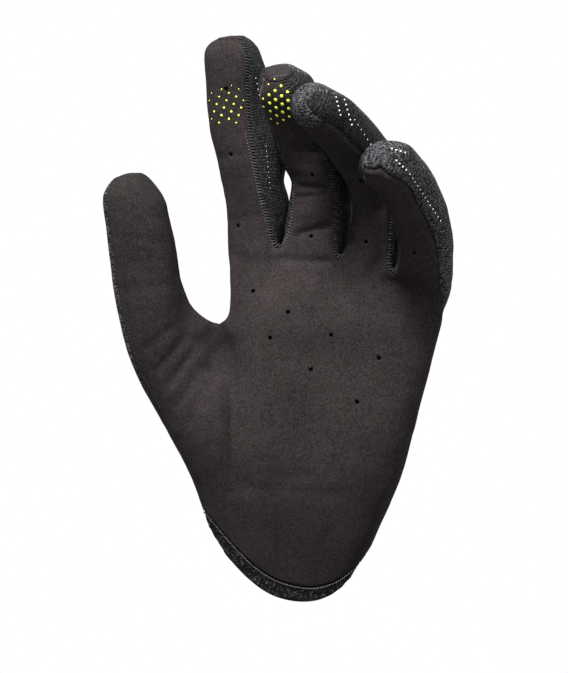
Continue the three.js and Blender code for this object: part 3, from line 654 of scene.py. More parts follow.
# Seams: every edge between two panels
edgeFaces = {}
for f, quad in enumerate(sheetFaces):
    for k in range(4):
        a, b = int(quad[k]), int(quad[(k + 1) % 4])
        edgeFaces.setdefault((min(a, b), max(a, b)), []).append(f)
seamEdges = {}
for (a, b), users in edgeFaces.items():
    if len(users) == 2 and sheetPanel[users[0]] != sheetPanel[users[1]]:
        pair = tuple(sorted((panelNames[sheetPanel[users[0]]], panelNames[sheetPanel[users[1]]])))
        seamEdges.setdefault(pair, []).append((a, b))
seamVertices = sorted({v for edges in seamEdges.values() for edge in edges for v in edge})
tree = KDTree(len(seamVertices))
for v in seamVertices:
    tree.insert(sheetCo[v], v)
tree.balance()
seamDistance = np.array([tree.find(p)[2] for p in sheetCo])
print("sheet:", len(sheetFaces), "quads,", {"-".join(k): len(v) for k, v in seamEdges.items()})

# Folds on the side that faces each way, a groove with soft lips along every seam, and a rumple
facing = np.clip(-sheetNormal[:, 1] * cloth["facing"], 0, 1)
facingBack = np.clip(sheetNormal[:, 1] * cloth["facing"], 0, 1)
seen = seenPlace(sheetCo)
lift = facing * foldAt(seen, folds) + facingBack * foldAt(seen, backFolds)
for at, reach, rise in bulges.values():
    lift += rise * bell(seen, at, reach)

# The groove is faint where suede meets suede and where mesh meets mesh
faintPairs = [pair for pair in seamEdges if (pair[0] in suedePanels) == (pair[1] in suedePanels)]
faintTree = seamTree(faintPairs)
boldTree = seamTree([pair for pair in seamEdges if pair not in faintPairs])
isFaint = np.array([faintTree.find(p)[2] < boldTree.find(p)[2] for p in sheetCo])
seamStrength = np.where(isFaint, cloth["faintGroove"], 1.0)
for at, reach, share in flatSeams.values():
    seamStrength *= 1 - share * bell(seen, at, reach)
lip = (seamDistance - cloth["lipAt"]) / cloth["lipWidth"]
lift -= seamStrength * cloth["grooveDepth"] * np.exp(-(seamDistance / cloth["grooveWidth"]) ** 2)
lift += seamStrength * cloth["lipHeight"] * np.exp(-lip ** 2)
calm = np.clip(seamDistance / cloth["calmReach"], cloth["calmShare"], 1)
for height, size, seed in cloth["rumples"]:
    lift += height * calm * noiseAt(sheetCo, size, seed)
sheetCo = sheetCo + sheetNormal * lift[:, None]
sheetNormal = sheetNormals(sheetCo, sheetFaces)


# Materials: hex colours are as they look on screen, turned to linear light here, and the sizes of
# patterns are in mm on the cloth
def linear(hexColour):
    channels = [int(hexColour[i:i + 2], 16) / 255 for i in (1, 3, 5)]
    return [c / 12.92 if c <= 0.04045 else ((c + 0.055) / 1.055) ** 2.4 for c in channels] + [1.0]


# Adds one node. An input is a value or another node's output, a setting is the node's own choice.
def addNode(tree, kind, inputs={}, **settings):
    node = tree.nodes.new(kind)
    for name, value in settings.items():
        setattr(node, name, value)
    for socket, value in inputs.items():
        if isinstance(value, bpy.types.NodeSocket):
            tree.links.new(value, node.inputs[socket])
        else:
            node.inputs[socket].default_value = value
    return node.outputs


def newMaterial(name, roughness, specular):
    material = bpy.data.materials.new(name)
    material.use_nodes = True
    shader = material.node_tree.nodes["Principled BSDF"]
    shader.inputs["Roughness"].default_value = roughness
    shader.inputs["Specular IOR Level"].default_value = specular
    return material, material.node_tree, shader


# One layer of the cloth's uneven look, from 0 to 1: the size of its spots in mm, their detail and
# roughness, and the low and high end of the range that is stretched
def clothLayer(tree, place, look):
    size, detail, rough, low, high = look
    spots = addNode(tree, "ShaderNodeTexNoise", {
        "Vector": place, "Scale": 1000 / size, "Detail": detail, "Roughness": rough})["Fac"]
    return addNode(tree, "ShaderNodeMapRange", {"Value": spots, "From Min": low, "From Max": high})[0]


# Colour between a dark and a light one by the tone, and a relief raised by so many mm
def finishCloth(tree, shader, tone, dark, light, relief, strength, raised):
    colour = addNode(tree, "ShaderNodeMix", {0: tone, 6: dark, 7: light}, data_type="RGBA")[2]
    tree.links.new(colour, shader.inputs["Base Color"])
    bump = addNode(tree, "ShaderNodeBump", {
        "Height": relief, "Strength": strength, "Distance": raised * mm})[0]
    tree.links.new(bump, shader.inputs["Normal"])


suedeLook = {
    "dark": "#030202", "light": "#2b2626", "roughness": 1.0, "specular": 0.06,
    "cloud": (20, 2, 0.6, 0.3, 0.7), "mottle": (3.2, 4, 0.7, 0.3, 0.7), "grain": (0.75, 3, 0.7, 0.36, 0.64),
    "weave": 1.0, "shares": {"cloud": 0.12, "mottle": 0.16, "grain": 0.5, "weave": 0.22},
    "wristFrom": -15, "wristTo": 55, "wristTone": 0.5, "weaveRelief": 0.35, "strength": 0.5, "raised": 0.12,
}
# Painted shade: patches where the suede is darkened for the shade in crotches, between fingers and on
# sides turned from the light: the place seen in front, how far it reaches across and up, and how much of the
# tone is left
paintedShadePatches = {
    "thumb's crotch": ((-27, 77), (8, 11), 0.5),
    "side of the palm below the index": ((-20, 104), (7, 18), 0.86),
    "middle of the index": ((-20, 140), (9, 24), 0.76),
    "front of the middle finger": ((9, 136), (10, 24), 0.76),
    "ring finger, side towards the little": ((36.5, 116), (4.5, 19), 0.5),
    "below the little finger": ((50, 100), (9, 5), 0.7),
    "top of the ring finger's front": ((24, 150), (6, 8), 0.75),
    "thumb": ((-60, 106), (14, 34), 0.84),
    "heel": ((0, 10), (30, 16), 0.84),
    "knuckles": ((14, 90), (32, 15), 0.88),
}


# How much of the suede's tone is left at each place: less towards the wrist and in the patches, as painted
# shade
def toneLeftByPaintedShade(tree, place):
    height = addNode(tree, "ShaderNodeSeparateXYZ", {"Vector": place})["Z"]
    # painted shade: the suede grows darker towards the wrist, down to wristTone of its tone
    left = addNode(tree, "ShaderNodeMapRange", {
        "Value": height, "From Min": suedeLook["wristFrom"] * mm, "From Max": suedeLook["wristTo"] * mm,
        "To Min": suedeLook["wristTone"], "To Max": 1.0})[0]
    for (x, z), (wide, high), share in paintedShadePatches.values():
        away = addNode(tree, "ShaderNodeVectorMath", {
            0: place, 1: (1000 / wide, 0, 1000 / high), 2: (-x / wide, 0, -z / high)},
            operation="MULTIPLY_ADD")[0]
        square = addNode(tree, "ShaderNodeVectorMath", {0: away, 1: away}, operation="DOT_PRODUCT")["Value"]
        inside = addNode(tree, "ShaderNodeMath", {0: math.exp(-1), 1: square}, operation="POWER")[0]
        kept = addNode(tree, "ShaderNodeMath", {0: inside, 1: share - 1, 2: 1.0}, operation="MULTIPLY_ADD")[0]
        left = addNode(tree, "ShaderNodeMath", {0: left, 1: kept}, operation="MULTIPLY")[0]
    return left


# Synthetic suede: a brushed nap, matt and slightly mottled, over a fine woven ground that
# shows as a faint grid, drawn at three times its real pitch so that it can be seen. Towards the
# wrist and in a few patches it is darkened: painted shade.
def suedeMaterial():
    material, tree, shader = newMaterial("syntheticSuede", suedeLook["roughness"], suedeLook["specular"])
    place = addNode(tree, "ShaderNodeTexCoord")["Object"]
    uv = addNode(tree, "ShaderNodeUVMap", uv_map="cloth")["UV"]
    turns = 2 * math.pi * 1000 / suedeLook["weave"]
    wave = addNode(tree, "ShaderNodeVectorMath", {0: uv, "Scale": turns}, operation="SCALE")[0]
    wave = addNode(tree, "ShaderNodeVectorMath", {0: wave}, operation="SINE")[0]
    wave = addNode(tree, "ShaderNodeSeparateXYZ", {"Vector": wave})
    crossing = addNode(tree, "ShaderNodeMath", {0: wave["X"], 1: wave["Y"]}, operation="MULTIPLY")[0]
    parts = {k: clothLayer(tree, place, suedeLook[k]) for k in ("cloud", "mottle", "grain")}
    parts["weave"] = addNode(tree, "ShaderNodeMapRange", {"Value": crossing, "From Min": -1.0})[0]
    tone = 0.0
    for name, share in suedeLook["shares"].items():
        tone = addNode(tree, "ShaderNodeMath", {
            0: parts[name], 1: share, 2: tone}, operation="MULTIPLY_ADD")[0]
    # painted shade: the tone is darkened towards the wrist and in the patches
    tone = addNode(tree, "ShaderNodeMath", {0: tone, 1: toneLeftByPaintedShade(tree, place)}, operation="MULTIPLY")[0]
    relief = addNode(tree, "ShaderNodeMath", {
        0: parts["weave"], 1: suedeLook["weaveRelief"], 2: parts["grain"]}, operation="MULTIPLY_ADD")[0]
    finishCloth(tree, shader, tone, linear(suedeLook["dark"]), linear(suedeLook["light"]), relief,
                suedeLook["strength"], suedeLook["raised"])
    return material


knitLook = {
    # gap: the slits' colour, black as painted shade of the glove's inside seen through them
    "gap": "#000000", "pitch": (0.95, 1.15), "slit": (0.36, 0.4), "slitEdge": (0.75, 1.15),
    "wander": (3.5, 2, 0.6, 0, 1), "wanderReach": (0.5, 0.4, 0), "fleck": (1.1, 3, 0.8, 0.44, 0.62),
    "roughness": 0.85, "specular": 0.12, "strength": 0.7, "raised": 0.3,
}


# Warp knit: dark grey yarn round small upright slits, every second row set over by half a
# stitch. The slits are painted black, as the shade inside the glove seen through them, which gives the cloth
# its open, grainy look beside the suede.
def knitMaterial(name, yarnColour, yarnShade):
    material, tree, shader = newMaterial(name, knitLook["roughness"], knitLook["specular"])
    place = addNode(tree, "ShaderNodeTexCoord")["Object"]
    uv = addNode(tree, "ShaderNodeUVMap", uv_map="cloth")["UV"]
    (wide, high), (slitWide, slitHigh) = knitLook["pitch"], knitLook["slit"]
    grid = addNode(tree, "ShaderNodeVectorMath", {
        0: uv, 1: (1000 / wide, 1000 / high, 0)}, operation="MULTIPLY")[0]
    grid = addNode(tree, "ShaderNodeVectorMath", {
        0: clothLayer(tree, place, knitLook["wander"]), 1: knitLook["wanderReach"], 2: grid},
        operation="MULTIPLY_ADD")[0]
    row = addNode(tree, "ShaderNodeSeparateXYZ", {"Vector": grid})["Y"]
    row = addNode(tree, "ShaderNodeMath", {0: row}, operation="FLOOR")[0]
    odd = addNode(tree, "ShaderNodeMath", {0: row, 1: 2.0}, operation="MODULO")[0]
    grid = addNode(tree, "ShaderNodeVectorMath", {
        0: odd, 1: (0.5, 0, 0), 2: grid}, operation="MULTIPLY_ADD")[0]
    stitch = addNode(tree, "ShaderNodeVectorMath", {0: grid}, operation="FRACTION")[0]
    stitch = addNode(tree, "ShaderNodeVectorMath", {
        0: stitch, 1: (1 / slitWide, 1 / slitHigh, 0), 2: (-0.5 / slitWide, -0.5 / slitHigh, 0)},
        operation="MULTIPLY_ADD")[0]
    away = addNode(tree, "ShaderNodeVectorMath", {0: stitch}, operation="LENGTH")["Value"]
    yarn = addNode(tree, "ShaderNodeMapRange", {
        "Value": away, "From Min": knitLook["slitEdge"][0], "From Max": knitLook["slitEdge"][1]})[0]
    fleck = clothLayer(tree, place, knitLook["fleck"])
    lit = addNode(tree, "ShaderNodeMix", {0: fleck, 6: linear(yarnShade), 7: linear(yarnColour)},
                  data_type="RGBA")[2]
    finishCloth(tree, shader, yarn, linear(knitLook["gap"]), lit, yarn,
                knitLook["strength"], knitLook["raised"])
    return material


elasticLook = {
    "dark": "#010101", "light": "#2c2c2e", "roughness": 0.8, "specular": 0.08,
    "pucker": (1.9, 2, 0.6, 0.46, 0.6), "thread": (0.8, 2, 0.7, 0.46, 0.6),
    "threadRelief": 0.5, "strength": 0.8, "raised": 0.5,
}


# Elastic tape: black threads that stand up in small uneven puckers, so that it looks coarser
# and blacker than the suede above it
def elasticMaterial():
    material, tree, shader = newMaterial("elasticTape", elasticLook["roughness"], elasticLook["specular"])
    place = addNode(tree, "ShaderNodeTexCoord")["Object"]
    pucker = clothLayer(tree, place, elasticLook["pucker"])
    thread = clothLayer(tree, place, elasticLook["thread"])
    tone = addNode(tree, "ShaderNodeMath", {0: pucker, 1: thread}, operation="MULTIPLY")[0]
    relief = addNode(tree, "ShaderNodeMath", {
        0: thread, 1: elasticLook["threadRelief"], 2: pucker}, operation="MULTIPLY_ADD")[0]
    finishCloth(tree, shader, tone, linear(elasticLook["dark"]), linear(elasticLook["light"]), relief,
                elasticLook["strength"], elasticLook["raised"])
    return material


def plainMaterial(name, colour, roughness, specular):
    material, _, shader = newMaterial(name, roughness, specular)
    shader.inputs["Base Color"].default_value = linear(colour)
    return material


suede = suedeMaterial()
knit = knitMaterial("warpKnit", "#4e4e51", "#020203")
# The strips between the fingers: the same knit with darker yarn, painted shade where they lie between the
# fingers
knitWithPaintedShade = knitMaterial("warpKnitWithPaintedShade", "#29292b", "#010101")
elastic = elasticMaterial()
# Printed silicone: the only bright colour on the glove, glossy and slightly raised
silicone = plainMaterial("siliconePrint", "#a9bd35", 0.3, 0.5)
# Overlock yarn: lighter than the cloth, so that each rib shows as a bead against the black gaps
ribThread = plainMaterial("overlockThread", "#232221", 0.8, 0.2)
# Topstitch of the thumb: nearly black and a little shinier than the suede
darkThread = plainMaterial("darkThread", "#161515", 0.6, 0.2)
# Polyester thread in pale grey: the hem, beside the index finger and at the middle finger's tip
lightThread = plainMaterial("lightThread", "#3f3d3b", 0.55, 0.3)
# Bright yarn of the mesh where it stands up and takes the light
paleThread = plainMaterial("paleYarn", "#b9b8b4", 0.5, 0.4)
print("materials:", len(bpy.data.materials))


# Builds a mesh from points in mm with a place in the cloth's grid per corner
def addMesh(name, co, faces, uv, material):
    mesh = bpy.data.meshes.new(name)
    mesh.vertices.add(len(co))
    mesh.vertices.foreach_set("co", (np.asarray(co) * mm).ravel())
    mesh.loops.add(faces.size)
    mesh.loops.foreach_set("vertex_index", faces.ravel().astype(np.int32))
    mesh.polygons.add(len(faces))
    mesh.polygons.foreach_set("loop_start", np.arange(len(faces), dtype=np.int32) * 4)
    mesh.update(calc_edges=True)
    mesh.polygons.foreach_set("use_smooth", np.ones(len(faces), dtype=bool))
    layer = mesh.uv_layers.new(name="cloth")
    layer.data.foreach_set("uv", np.asarray(uv).ravel())
    mesh.materials.append(material)
    mesh.validate()
    obj = bpy.data.objects.new(name, mesh)
    scene.collection.objects.link(obj)
    return obj


# One sewn panel: its outer face from the sheet, an inner face one wall below it, and the
# cut edge between them, which stands back from the seam
def addPanel(index):
    name = panelNames[index]
    isSuede = name in suedePanels
    wall = cloth["suedeWall"] if isSuede else cloth["meshWall"]
    chosen = np.nonzero(sheetPanel == index)[0]
    used, faces = np.unique(sheetFaces[chosen], return_inverse=True)
    faces = faces.reshape(-1, 4)
    outer = sheetCo[used].copy()
    sides = np.concatenate([faces[:, [k, (k + 1) % 4]] for k in range(4)])
    key = {}
    for f, (a, b) in enumerate(sides):
        key.setdefault((min(a, b), max(a, b)), []).append((f, a, b))
    rim = [users[0] for users in key.values() if len(users) == 1]
    rimVertices = {v for _, a, b in rim for v in (a, b)}
    inward = np.zeros_like(outer)
    for k in range(4):
        centre = outer[faces].mean(axis=1)
        np.add.at(inward, faces[:, k], centre - outer[faces[:, k]])
    for v in rimVertices:
        step = inward[v] / (np.linalg.norm(inward[v]) + 1e-9)
        outer[v] += step * cloth["seamGap"] / 2
    inner = outer - sheetNormal[used] * wall
    n = len(outer)
    count = len(faces)
    rimFaces = np.array([(b, a, n + a, n + b) for _, a, b in rim])
    uvs = sheetUv[chosen]
    rimUv = np.array([(uvs[f % count][(f // count + 1) % 4], uvs[f % count][f // count],
                       uvs[f % count][f // count], uvs[f % count][(f // count + 1) % 4]) for f, _, _ in rim])
    allFaces = np.concatenate([faces, n + faces[:, ::-1], rimFaces])
    allUv = np.concatenate([uvs, uvs[:, ::-1], rimUv])
    # the strips between the fingers take the knit darkened as painted shade
    return addMesh(name + "Cloth", np.concatenate([outer, inner]), allFaces, allUv,
                   suede if isSuede else knitWithPaintedShade if "fourchette" in name else knit)


panels = {name: addPanel(i) for i, name in enumerate(panelNames)}
print("panels:", {k: len(v.data.polygons) for k, v in panels.items()})


# Seams as ordered lines of the sheet's points
def chainEdges(edges):
    nextOf = {}
    for a, b in edges:
        nextOf.setdefault(a, []).append(b)
        nextOf.setdefault(b, []).append(a)
    unused = set(nextOf)
    chains = []
    while unused:
        ends = [v for v in unused if len(nextOf[v]) == 1]
        v = min(ends) if ends else min(unused)
        chain = [v]
        unused.discard(v)
        while True:
            step = [w for w in nextOf[chain[-1]] if w in unused]
            if not step:
                break
            chain.append(step[0])
            unused.discard(step[0])
        chains.append(chain)
    return chains


def seamChains(first, second):
    return chainEdges(seamEdges[tuple(sorted((first, second)))])


def smoothLine(values, rounds, closed=False):
    values = np.array(values, dtype=float)
    for _ in range(rounds):
        if closed:
            values = (np.roll(values, 1, axis=0) + values * 2 + np.roll(values, -1, axis=0)) / 4
        else:
            values[1:-1] = (values[:-2] + values[1:-1] * 2 + values[2:]) / 4
    return values


# A line mesh that carries which way is out of the cloth at each point
def lineMesh(name, lines):
    co, outward, edges = [], [], []
    for place, out, closed in lines:
        first = len(co)
        co.extend(place)
        outward.extend(out)
        count = len(place)
        edges.extend((first + i, first + (i + 1) % count) for i in range(count if closed else count - 1))
    mesh = bpy.data.meshes.new(name)
    mesh.from_pydata([list(p * mm) for p in np.array(co)], edges, [])
    attribute = mesh.attributes.new("outward", "FLOAT_VECTOR", "POINT")
    attribute.data.foreach_set("vector", np.array(outward).ravel())
    obj = bpy.data.objects.new(name, mesh)
    scene.collection.objects.link(obj)
    return obj


# A Geometry Nodes tree with its named inputs
def newGroup(name, inputs):
    tree = bpy.data.node_groups.new(name, "GeometryNodeTree")
    tree.interface.new_socket("Geometry", in_out="INPUT", socket_type="NodeSocketGeometry")
    for label, kind in inputs.items():
        tree.interface.new_socket(label, in_out="INPUT", socket_type="NodeSocket" + kind)
    tree.interface.new_socket("Geometry", in_out="OUTPUT", socket_type="NodeSocketGeometry")
    return tree, addNode(tree, "NodeGroupInput")


# Segments round a bead and rings along it
beadRings = {"stitch": (6, 4), "dot": (8, 6)}


# Puts one small bead on every point, its height along the cloth's outward direction
def strew(tree, spots, given, secondary, scale, segments, rings):
    outward = addNode(tree, "GeometryNodeInputNamedAttribute", {
        "Name": "outward"}, data_type="FLOAT_VECTOR")[0]
    turned = addNode(tree, "FunctionNodeAxesToRotation", {
        "Primary Axis": outward, "Secondary Axis": secondary}, primary_axis="Z", secondary_axis="X")[0]
    slant = addNode(tree, "ShaderNodeCombineXYZ", {"Z": given["Slant"]})[0]
    rotation = addNode(tree, "FunctionNodeRotateRotation", {
        "Rotation": turned, "Rotate By": slant}, rotation_space="LOCAL")[0]
    bead = addNode(tree, "GeometryNodeMeshUVSphere", {
        "Segments": segments, "Rings": rings, "Radius": 0.5})["Mesh"]
    beads = addNode(tree, "GeometryNodeInstanceOnPoints", {
        "Points": spots, "Instance": bead, "Rotation": rotation, "Scale": scale})[0]
    real = addNode(tree, "GeometryNodeRealizeInstances", {"Geometry": beads})[0]
    smooth = addNode(tree, "GeometryNodeSetShadeSmooth", {"Geometry": real})[0]
    done = addNode(tree, "GeometryNodeSetMaterial", {"Geometry": smooth, "Material": given["Material"]})[0]
    addNode(tree, "NodeGroupOutput", {0: done})
    return tree


# Stitches along a seam: beads at an even pitch, each a little longer or shorter than the next
def stitchGroup():
    tree, given = newGroup("stitchesAlongSeam", {
        "Pitch": "Float", "Length": "Float", "Width": "Float", "Height": "Float", "Slant": "Float",
        "Unevenness": "Float", "Seed": "Int", "Material": "Material"})
    curve = addNode(tree, "GeometryNodeMeshToCurve", {"Mesh": given["Geometry"]})[0]
    spaced = addNode(tree, "GeometryNodeResampleCurve", {
        "Curve": curve, "Length": given["Pitch"]}, mode="LENGTH")[0]
    low = addNode(tree, "ShaderNodeMath", {0: 1.0, 1: given["Unevenness"]}, operation="SUBTRACT")[0]
    high = addNode(tree, "ShaderNodeMath", {0: 1.0, 1: given["Unevenness"]}, operation="ADD")[0]
    chance = addNode(tree, "FunctionNodeRandomValue", {
        2: low, 3: high, "Seed": given["Seed"]}, data_type="FLOAT")[1]
    size = addNode(tree, "ShaderNodeCombineXYZ", {
        "X": given["Length"], "Y": given["Width"], "Z": given["Height"]})[0]
    scale = addNode(tree, "ShaderNodeVectorMath", {0: size, "Scale": chance}, operation="SCALE")[0]
    tangent = addNode(tree, "GeometryNodeInputTangent")[0]
    return strew(tree, spaced, given, tangent, scale, *beadRings["stitch"])


# Printed dots and yarn flecks: one low dome per point, sized by the point's own share
def dotGroup():
    tree, given = newGroup("printedDots", {
        "Diameter": "Float", "Height": "Float", "Slant": "Float", "Material": "Material"})
    share = addNode(tree, "GeometryNodeInputNamedAttribute", {"Name": "share"}, data_type="FLOAT")[0]
    size = addNode(tree, "ShaderNodeCombineXYZ", {
        "X": given["Diameter"], "Y": given["Diameter"], "Z": given["Height"]})[0]
    scale = addNode(tree, "ShaderNodeVectorMath", {0: size, "Scale": share}, operation="SCALE")[0]
    upright = addNode(tree, "ShaderNodeCombineXYZ", {"Z": 1.0})[0]
    return strew(tree, given["Geometry"], given, upright, scale, *beadRings["dot"])


# Perforations: pins at the places of another object are cut out of the cloth
def perforationGroup():
    tree, given = newGroup("perforations", {
        "Places": "Object", "Diameter": "Float", "Depth": "Float", "Corners": "Int", "Material": "Material"})
    places = addNode(tree, "GeometryNodeObjectInfo", {"Object": given["Places"]}, transform_space="ORIGINAL")
    half = addNode(tree, "ShaderNodeMath", {0: given["Diameter"], 1: 0.5}, operation="MULTIPLY")[0]
    pin = addNode(tree, "GeometryNodeMeshCylinder", {
        "Vertices": given["Corners"], "Radius": half, "Depth": given["Depth"]})["Mesh"]
    outward = addNode(tree, "GeometryNodeInputNamedAttribute", {
        "Name": "outward"}, data_type="FLOAT_VECTOR")[0]
    turned = addNode(tree, "FunctionNodeAlignRotationToVector", {"Vector": outward}, axis="Z")[0]
    pins = addNode(tree, "GeometryNodeInstanceOnPoints", {
        "Points": places["Geometry"], "Instance": pin, "Rotation": turned})[0]
    real = addNode(tree, "GeometryNodeRealizeInstances", {"Geometry": pins})[0]
    cut = addNode(tree, "GeometryNodeMeshBoolean", {"Mesh 1": given["Geometry"], "Mesh 2": real},
                  operation="DIFFERENCE", solver="MANIFOLD")[0]
    done = addNode(tree, "GeometryNodeSetMaterial", {"Geometry": cut, "Material": given["Material"]})[0]
    addNode(tree, "NodeGroupOutput", {0: done})
    return tree


# Runs a node group on an object and keeps the result as a plain mesh
def applyGroup(obj, tree, values):
    modifier = obj.modifiers.new(tree.name, "NODES")
    modifier.node_group = tree
    for item in tree.interface.items_tree:
        if item.in_out == "INPUT" and item.name in values:
            modifier[item.identifier] = values[item.name]
    bpy.context.view_layer.update()
    graph = bpy.context.evaluated_depsgraph_get()
    mesh = bpy.data.meshes.new_from_object(obj.evaluated_get(graph), depsgraph=graph)
    obj.modifiers.clear()
    obj.data = mesh
    return obj


stitches, dots, perforations = stitchGroup(), dotGroup(), perforationGroup()
sheetTree = BVHTree.FromPolygons(sheetCo.tolist(), sheetFaces.tolist())


# The place on the cloth that the camera sees at x, z, with the way out of the cloth there
def castFromCamera(x, z):
    eye = Vector((view["target"][0], -view["distance"], view["target"][2]))
    place, _, face, _ = sheetTree.ray_cast(eye, (Vector((x, 0, z)) - eye).normalized())
    if place is None:
        return None
    quad = sheetFaces[face]
    out = Vector(sheetNormal[quad].mean(axis=0)).normalized()
    return place, out, panelNames[sheetPanel[face]]


def pointMesh(name, rows):
    mesh = bpy.data.meshes.new(name)
    mesh.from_pydata([place * mm for place, _, _ in rows], [], [])
    outward = mesh.attributes.new("outward", "FLOAT_VECTOR", "POINT")
    outward.data.foreach_set("vector", np.array([list(out) for _, out, _ in rows]).ravel())
    share = mesh.attributes.new("share", "FLOAT", "POINT")
    share.data.foreach_set("value", np.array([s for _, _, s in rows]))
    obj = bpy.data.objects.new(name, mesh)
    scene.collection.objects.link(obj)
    return obj


# Perforations in the suede, at the places seen in front, in mm
perforation = {
    "diameter": 1.7, "depth": 7, "corners": 14,
    "places": [(-25.3, 178.6), (-23.3, 151.7), (-20.4, 122.7), (-14.3, 96.2), (0, 87.6), (-7.3, 77),
               (17.6, 78.2), (9.4, 64.3), (37.1, 68.8), (28.2, 50.9), (9.8, 143.5), (9.4, 118.6),
               (29.8, 141.1), (31.8, 116.2), (51.4, 111.7)],
}
holeRows = [castFromCamera(x, z) for x, z in perforation["places"]]
holes = pointMesh("perforationPlaces", [(p, out, 1.0) for p, out, _ in holeRows])
applyGroup(panels["palm_suede"], perforations, {
    "Places": holes, "Diameter": perforation["diameter"] * mm, "Depth": perforation["depth"] * mm,
    "Corners": perforation["corners"], "Material": suede})
bpy.data.objects.remove(holes)
print("perforations:", len(holeRows), "palm polygons:", len(panels["palm_suede"].data.polygons))


# Silicone grip dots: a slanting grid whose dots grow from small to large down the finger. Only
# those inside an oval are printed, and its outermost dots are smaller.
dotFields = {
    "indexDots": {
        "origin": (-29.1, 172.4), "across": (3.0, -1.5), "down": (-1.0, -3.03), "stretch": 0.0,
        "columns": (-2, 6), "rows": (-5, 4), "middle": (-25.2, 172.6), "reach": (8.4, 8.9),
        "diameter": 1.3, "height": 0.45, "small": 0.45, "growth": 18, "rise": 0.05, "edge": 1.6,
        "panels": ("palm_suede", "index_tip_cap"),
    },
    "middleDots": {
        "origin": (-5.0, 174.2), "across": (2.68, -1.8), "down": (0.25, -3.2), "stretch": 0.05,
        "columns": (-3, 5), "rows": (-4, 5), "middle": (-3.0, 174.2), "reach": (7.6, 10.6),
        "diameter": 1.5, "height": 0.5, "small": 0.45, "growth": 9, "rise": 0.05, "edge": 1.6,
        "panels": ("palm_suede", "middle_tip_cap"),
    },
}


def addDots(name, field):
    rows = []
    top = field["middle"][1] + field["reach"][1]
    for i in range(*field["columns"]):
        for j in range(*field["rows"]):
            x = field["origin"][0] + i * field["across"][0] + j * field["down"][0]
            z = field["origin"][1] + i * field["across"][1] + j * field["down"][1]
            z += field["stretch"] * max(0, z - field["origin"][1]) ** 2
            away = math.hypot((x - field["middle"][0]) / field["reach"][0],
                              (z - field["middle"][1]) / field["reach"][1])
            if away > 1:
                continue
            hit = castFromCamera(x, z)
            if hit is None or hit[2] not in field["panels"]:
                continue
            share = min(1, field["small"] + (top - z) / field["growth"] * (1 - field["small"]))
            share *= min(1, field["edge"] - away)
            rows.append((hit[0] + hit[1] * field["rise"], hit[1], share))
    print("dots:", name, len(rows))
    return applyGroup(pointMesh(name, rows), dots, {
        "Diameter": field["diameter"] * mm, "Height": field["height"] * mm, "Slant": 0.0,
        "Material": silicone})


dotPieces = [addDots(name, field) for name, field in dotFields.items()]


# Beads of thread along the given lines, shaped by the piece's own values
def addStitches(name, lines, look):
    return applyGroup(lineMesh(name, lines), stitches, {
        "Pitch": look["pitch"] * mm, "Length": look["length"] * mm, "Width": look["width"] * mm,
        "Height": look["height"] * mm, "Slant": look["slant"], "Unevenness": look["uneven"],
        "Seed": look["seed"], "Material": look["thread"]})


# Overlocked seams: ribs of yarn across the edges of the strips between the fingers
overlock = {
    "pitch": 1.2, "length": 2.5, "width": 0.75, "height": 0.95, "slant": 1.25, "uneven": 0.28,
    "rise": 0.25, "placeRounds": 3, "outRounds": 6, "seed": 4, "thread": ribThread,
}
ribLines = []
for strip in panelNames:
    if not strip.startswith("fourchette"):
        continue
    for chain in seamChains("palm_suede", strip):
        place = smoothLine(sheetCo[chain], overlock["placeRounds"])
        out = smoothLine(sheetNormal[chain], overlock["outRounds"])
        ribLines.append((place + out * overlock["rise"], out, False))
ribs = addStitches("overlockRibs", ribLines, overlock)
print("overlock ribs:", len(ribs.data.polygons))


# Sewn lines drawn where they are seen: each runs through a few places in front, in mm
sewing = {"step": 1.5, "rise": 0.1, "placeRounds": 2, "outRounds": 3}
sewnLines = {
    "thumbTopstitch": {
        "through": [(-72.5, 118), (-70.8, 103), (-67.5, 88), (-63.8, 75.5), (-60, 63), (-55.5, 54.5),
                    (-51.5, 47.5)],
        "pitch": 1.5, "length": 1.3, "width": 0.45, "height": 0.35, "slant": 0.15,
        "uneven": 0.1, "seed": 11, "thread": darkThread,
    },
    "indexSeamStitch": {
        "through": [(-17.2, 160), (-12.4, 138), (-9.2, 124), (-7.2, 116.8), (-5.4, 114.2)],
        "pitch": 1.25, "length": 1.2, "width": 0.35, "height": 0.35, "slant": 0.7,
        "uneven": 0.1, "seed": 11, "thread": lightThread,
    },
    "middleTipSeam": {
        "through": [(-10.4, 182.2), (-4.5, 183.8), (1.4, 184.6)],
        "pitch": 0.9, "length": 0.9, "width": 0.3, "height": 0.3, "slant": 0.1,
        "uneven": 0.1, "seed": 11, "thread": lightThread,
    },
}


def addSewnLine(name, line):
    place, out = [], []
    for (x0, z0), (x1, z1) in zip(line["through"], line["through"][1:]):
        steps = max(2, round(math.hypot(x1 - x0, z1 - z0) / sewing["step"]))
        for t in spread(0, 1, steps)[:-1]:
            hit = castFromCamera(lerp(x0, x1, t), lerp(z0, z1, t))
            if hit is not None:
                place.append(list(hit[0]))
                out.append(list(hit[1]))
    out = smoothLine(out, sewing["outRounds"])
    place = smoothLine(place, sewing["placeRounds"]) + out * sewing["rise"]
    return addStitches(name, [(place, out, False)], line)


sewnPieces = [addSewnLine(name, line) for name, line in sewnLines.items()]
print("sewn lines:", {obj.name: len(obj.data.polygons) for obj in sewnPieces})

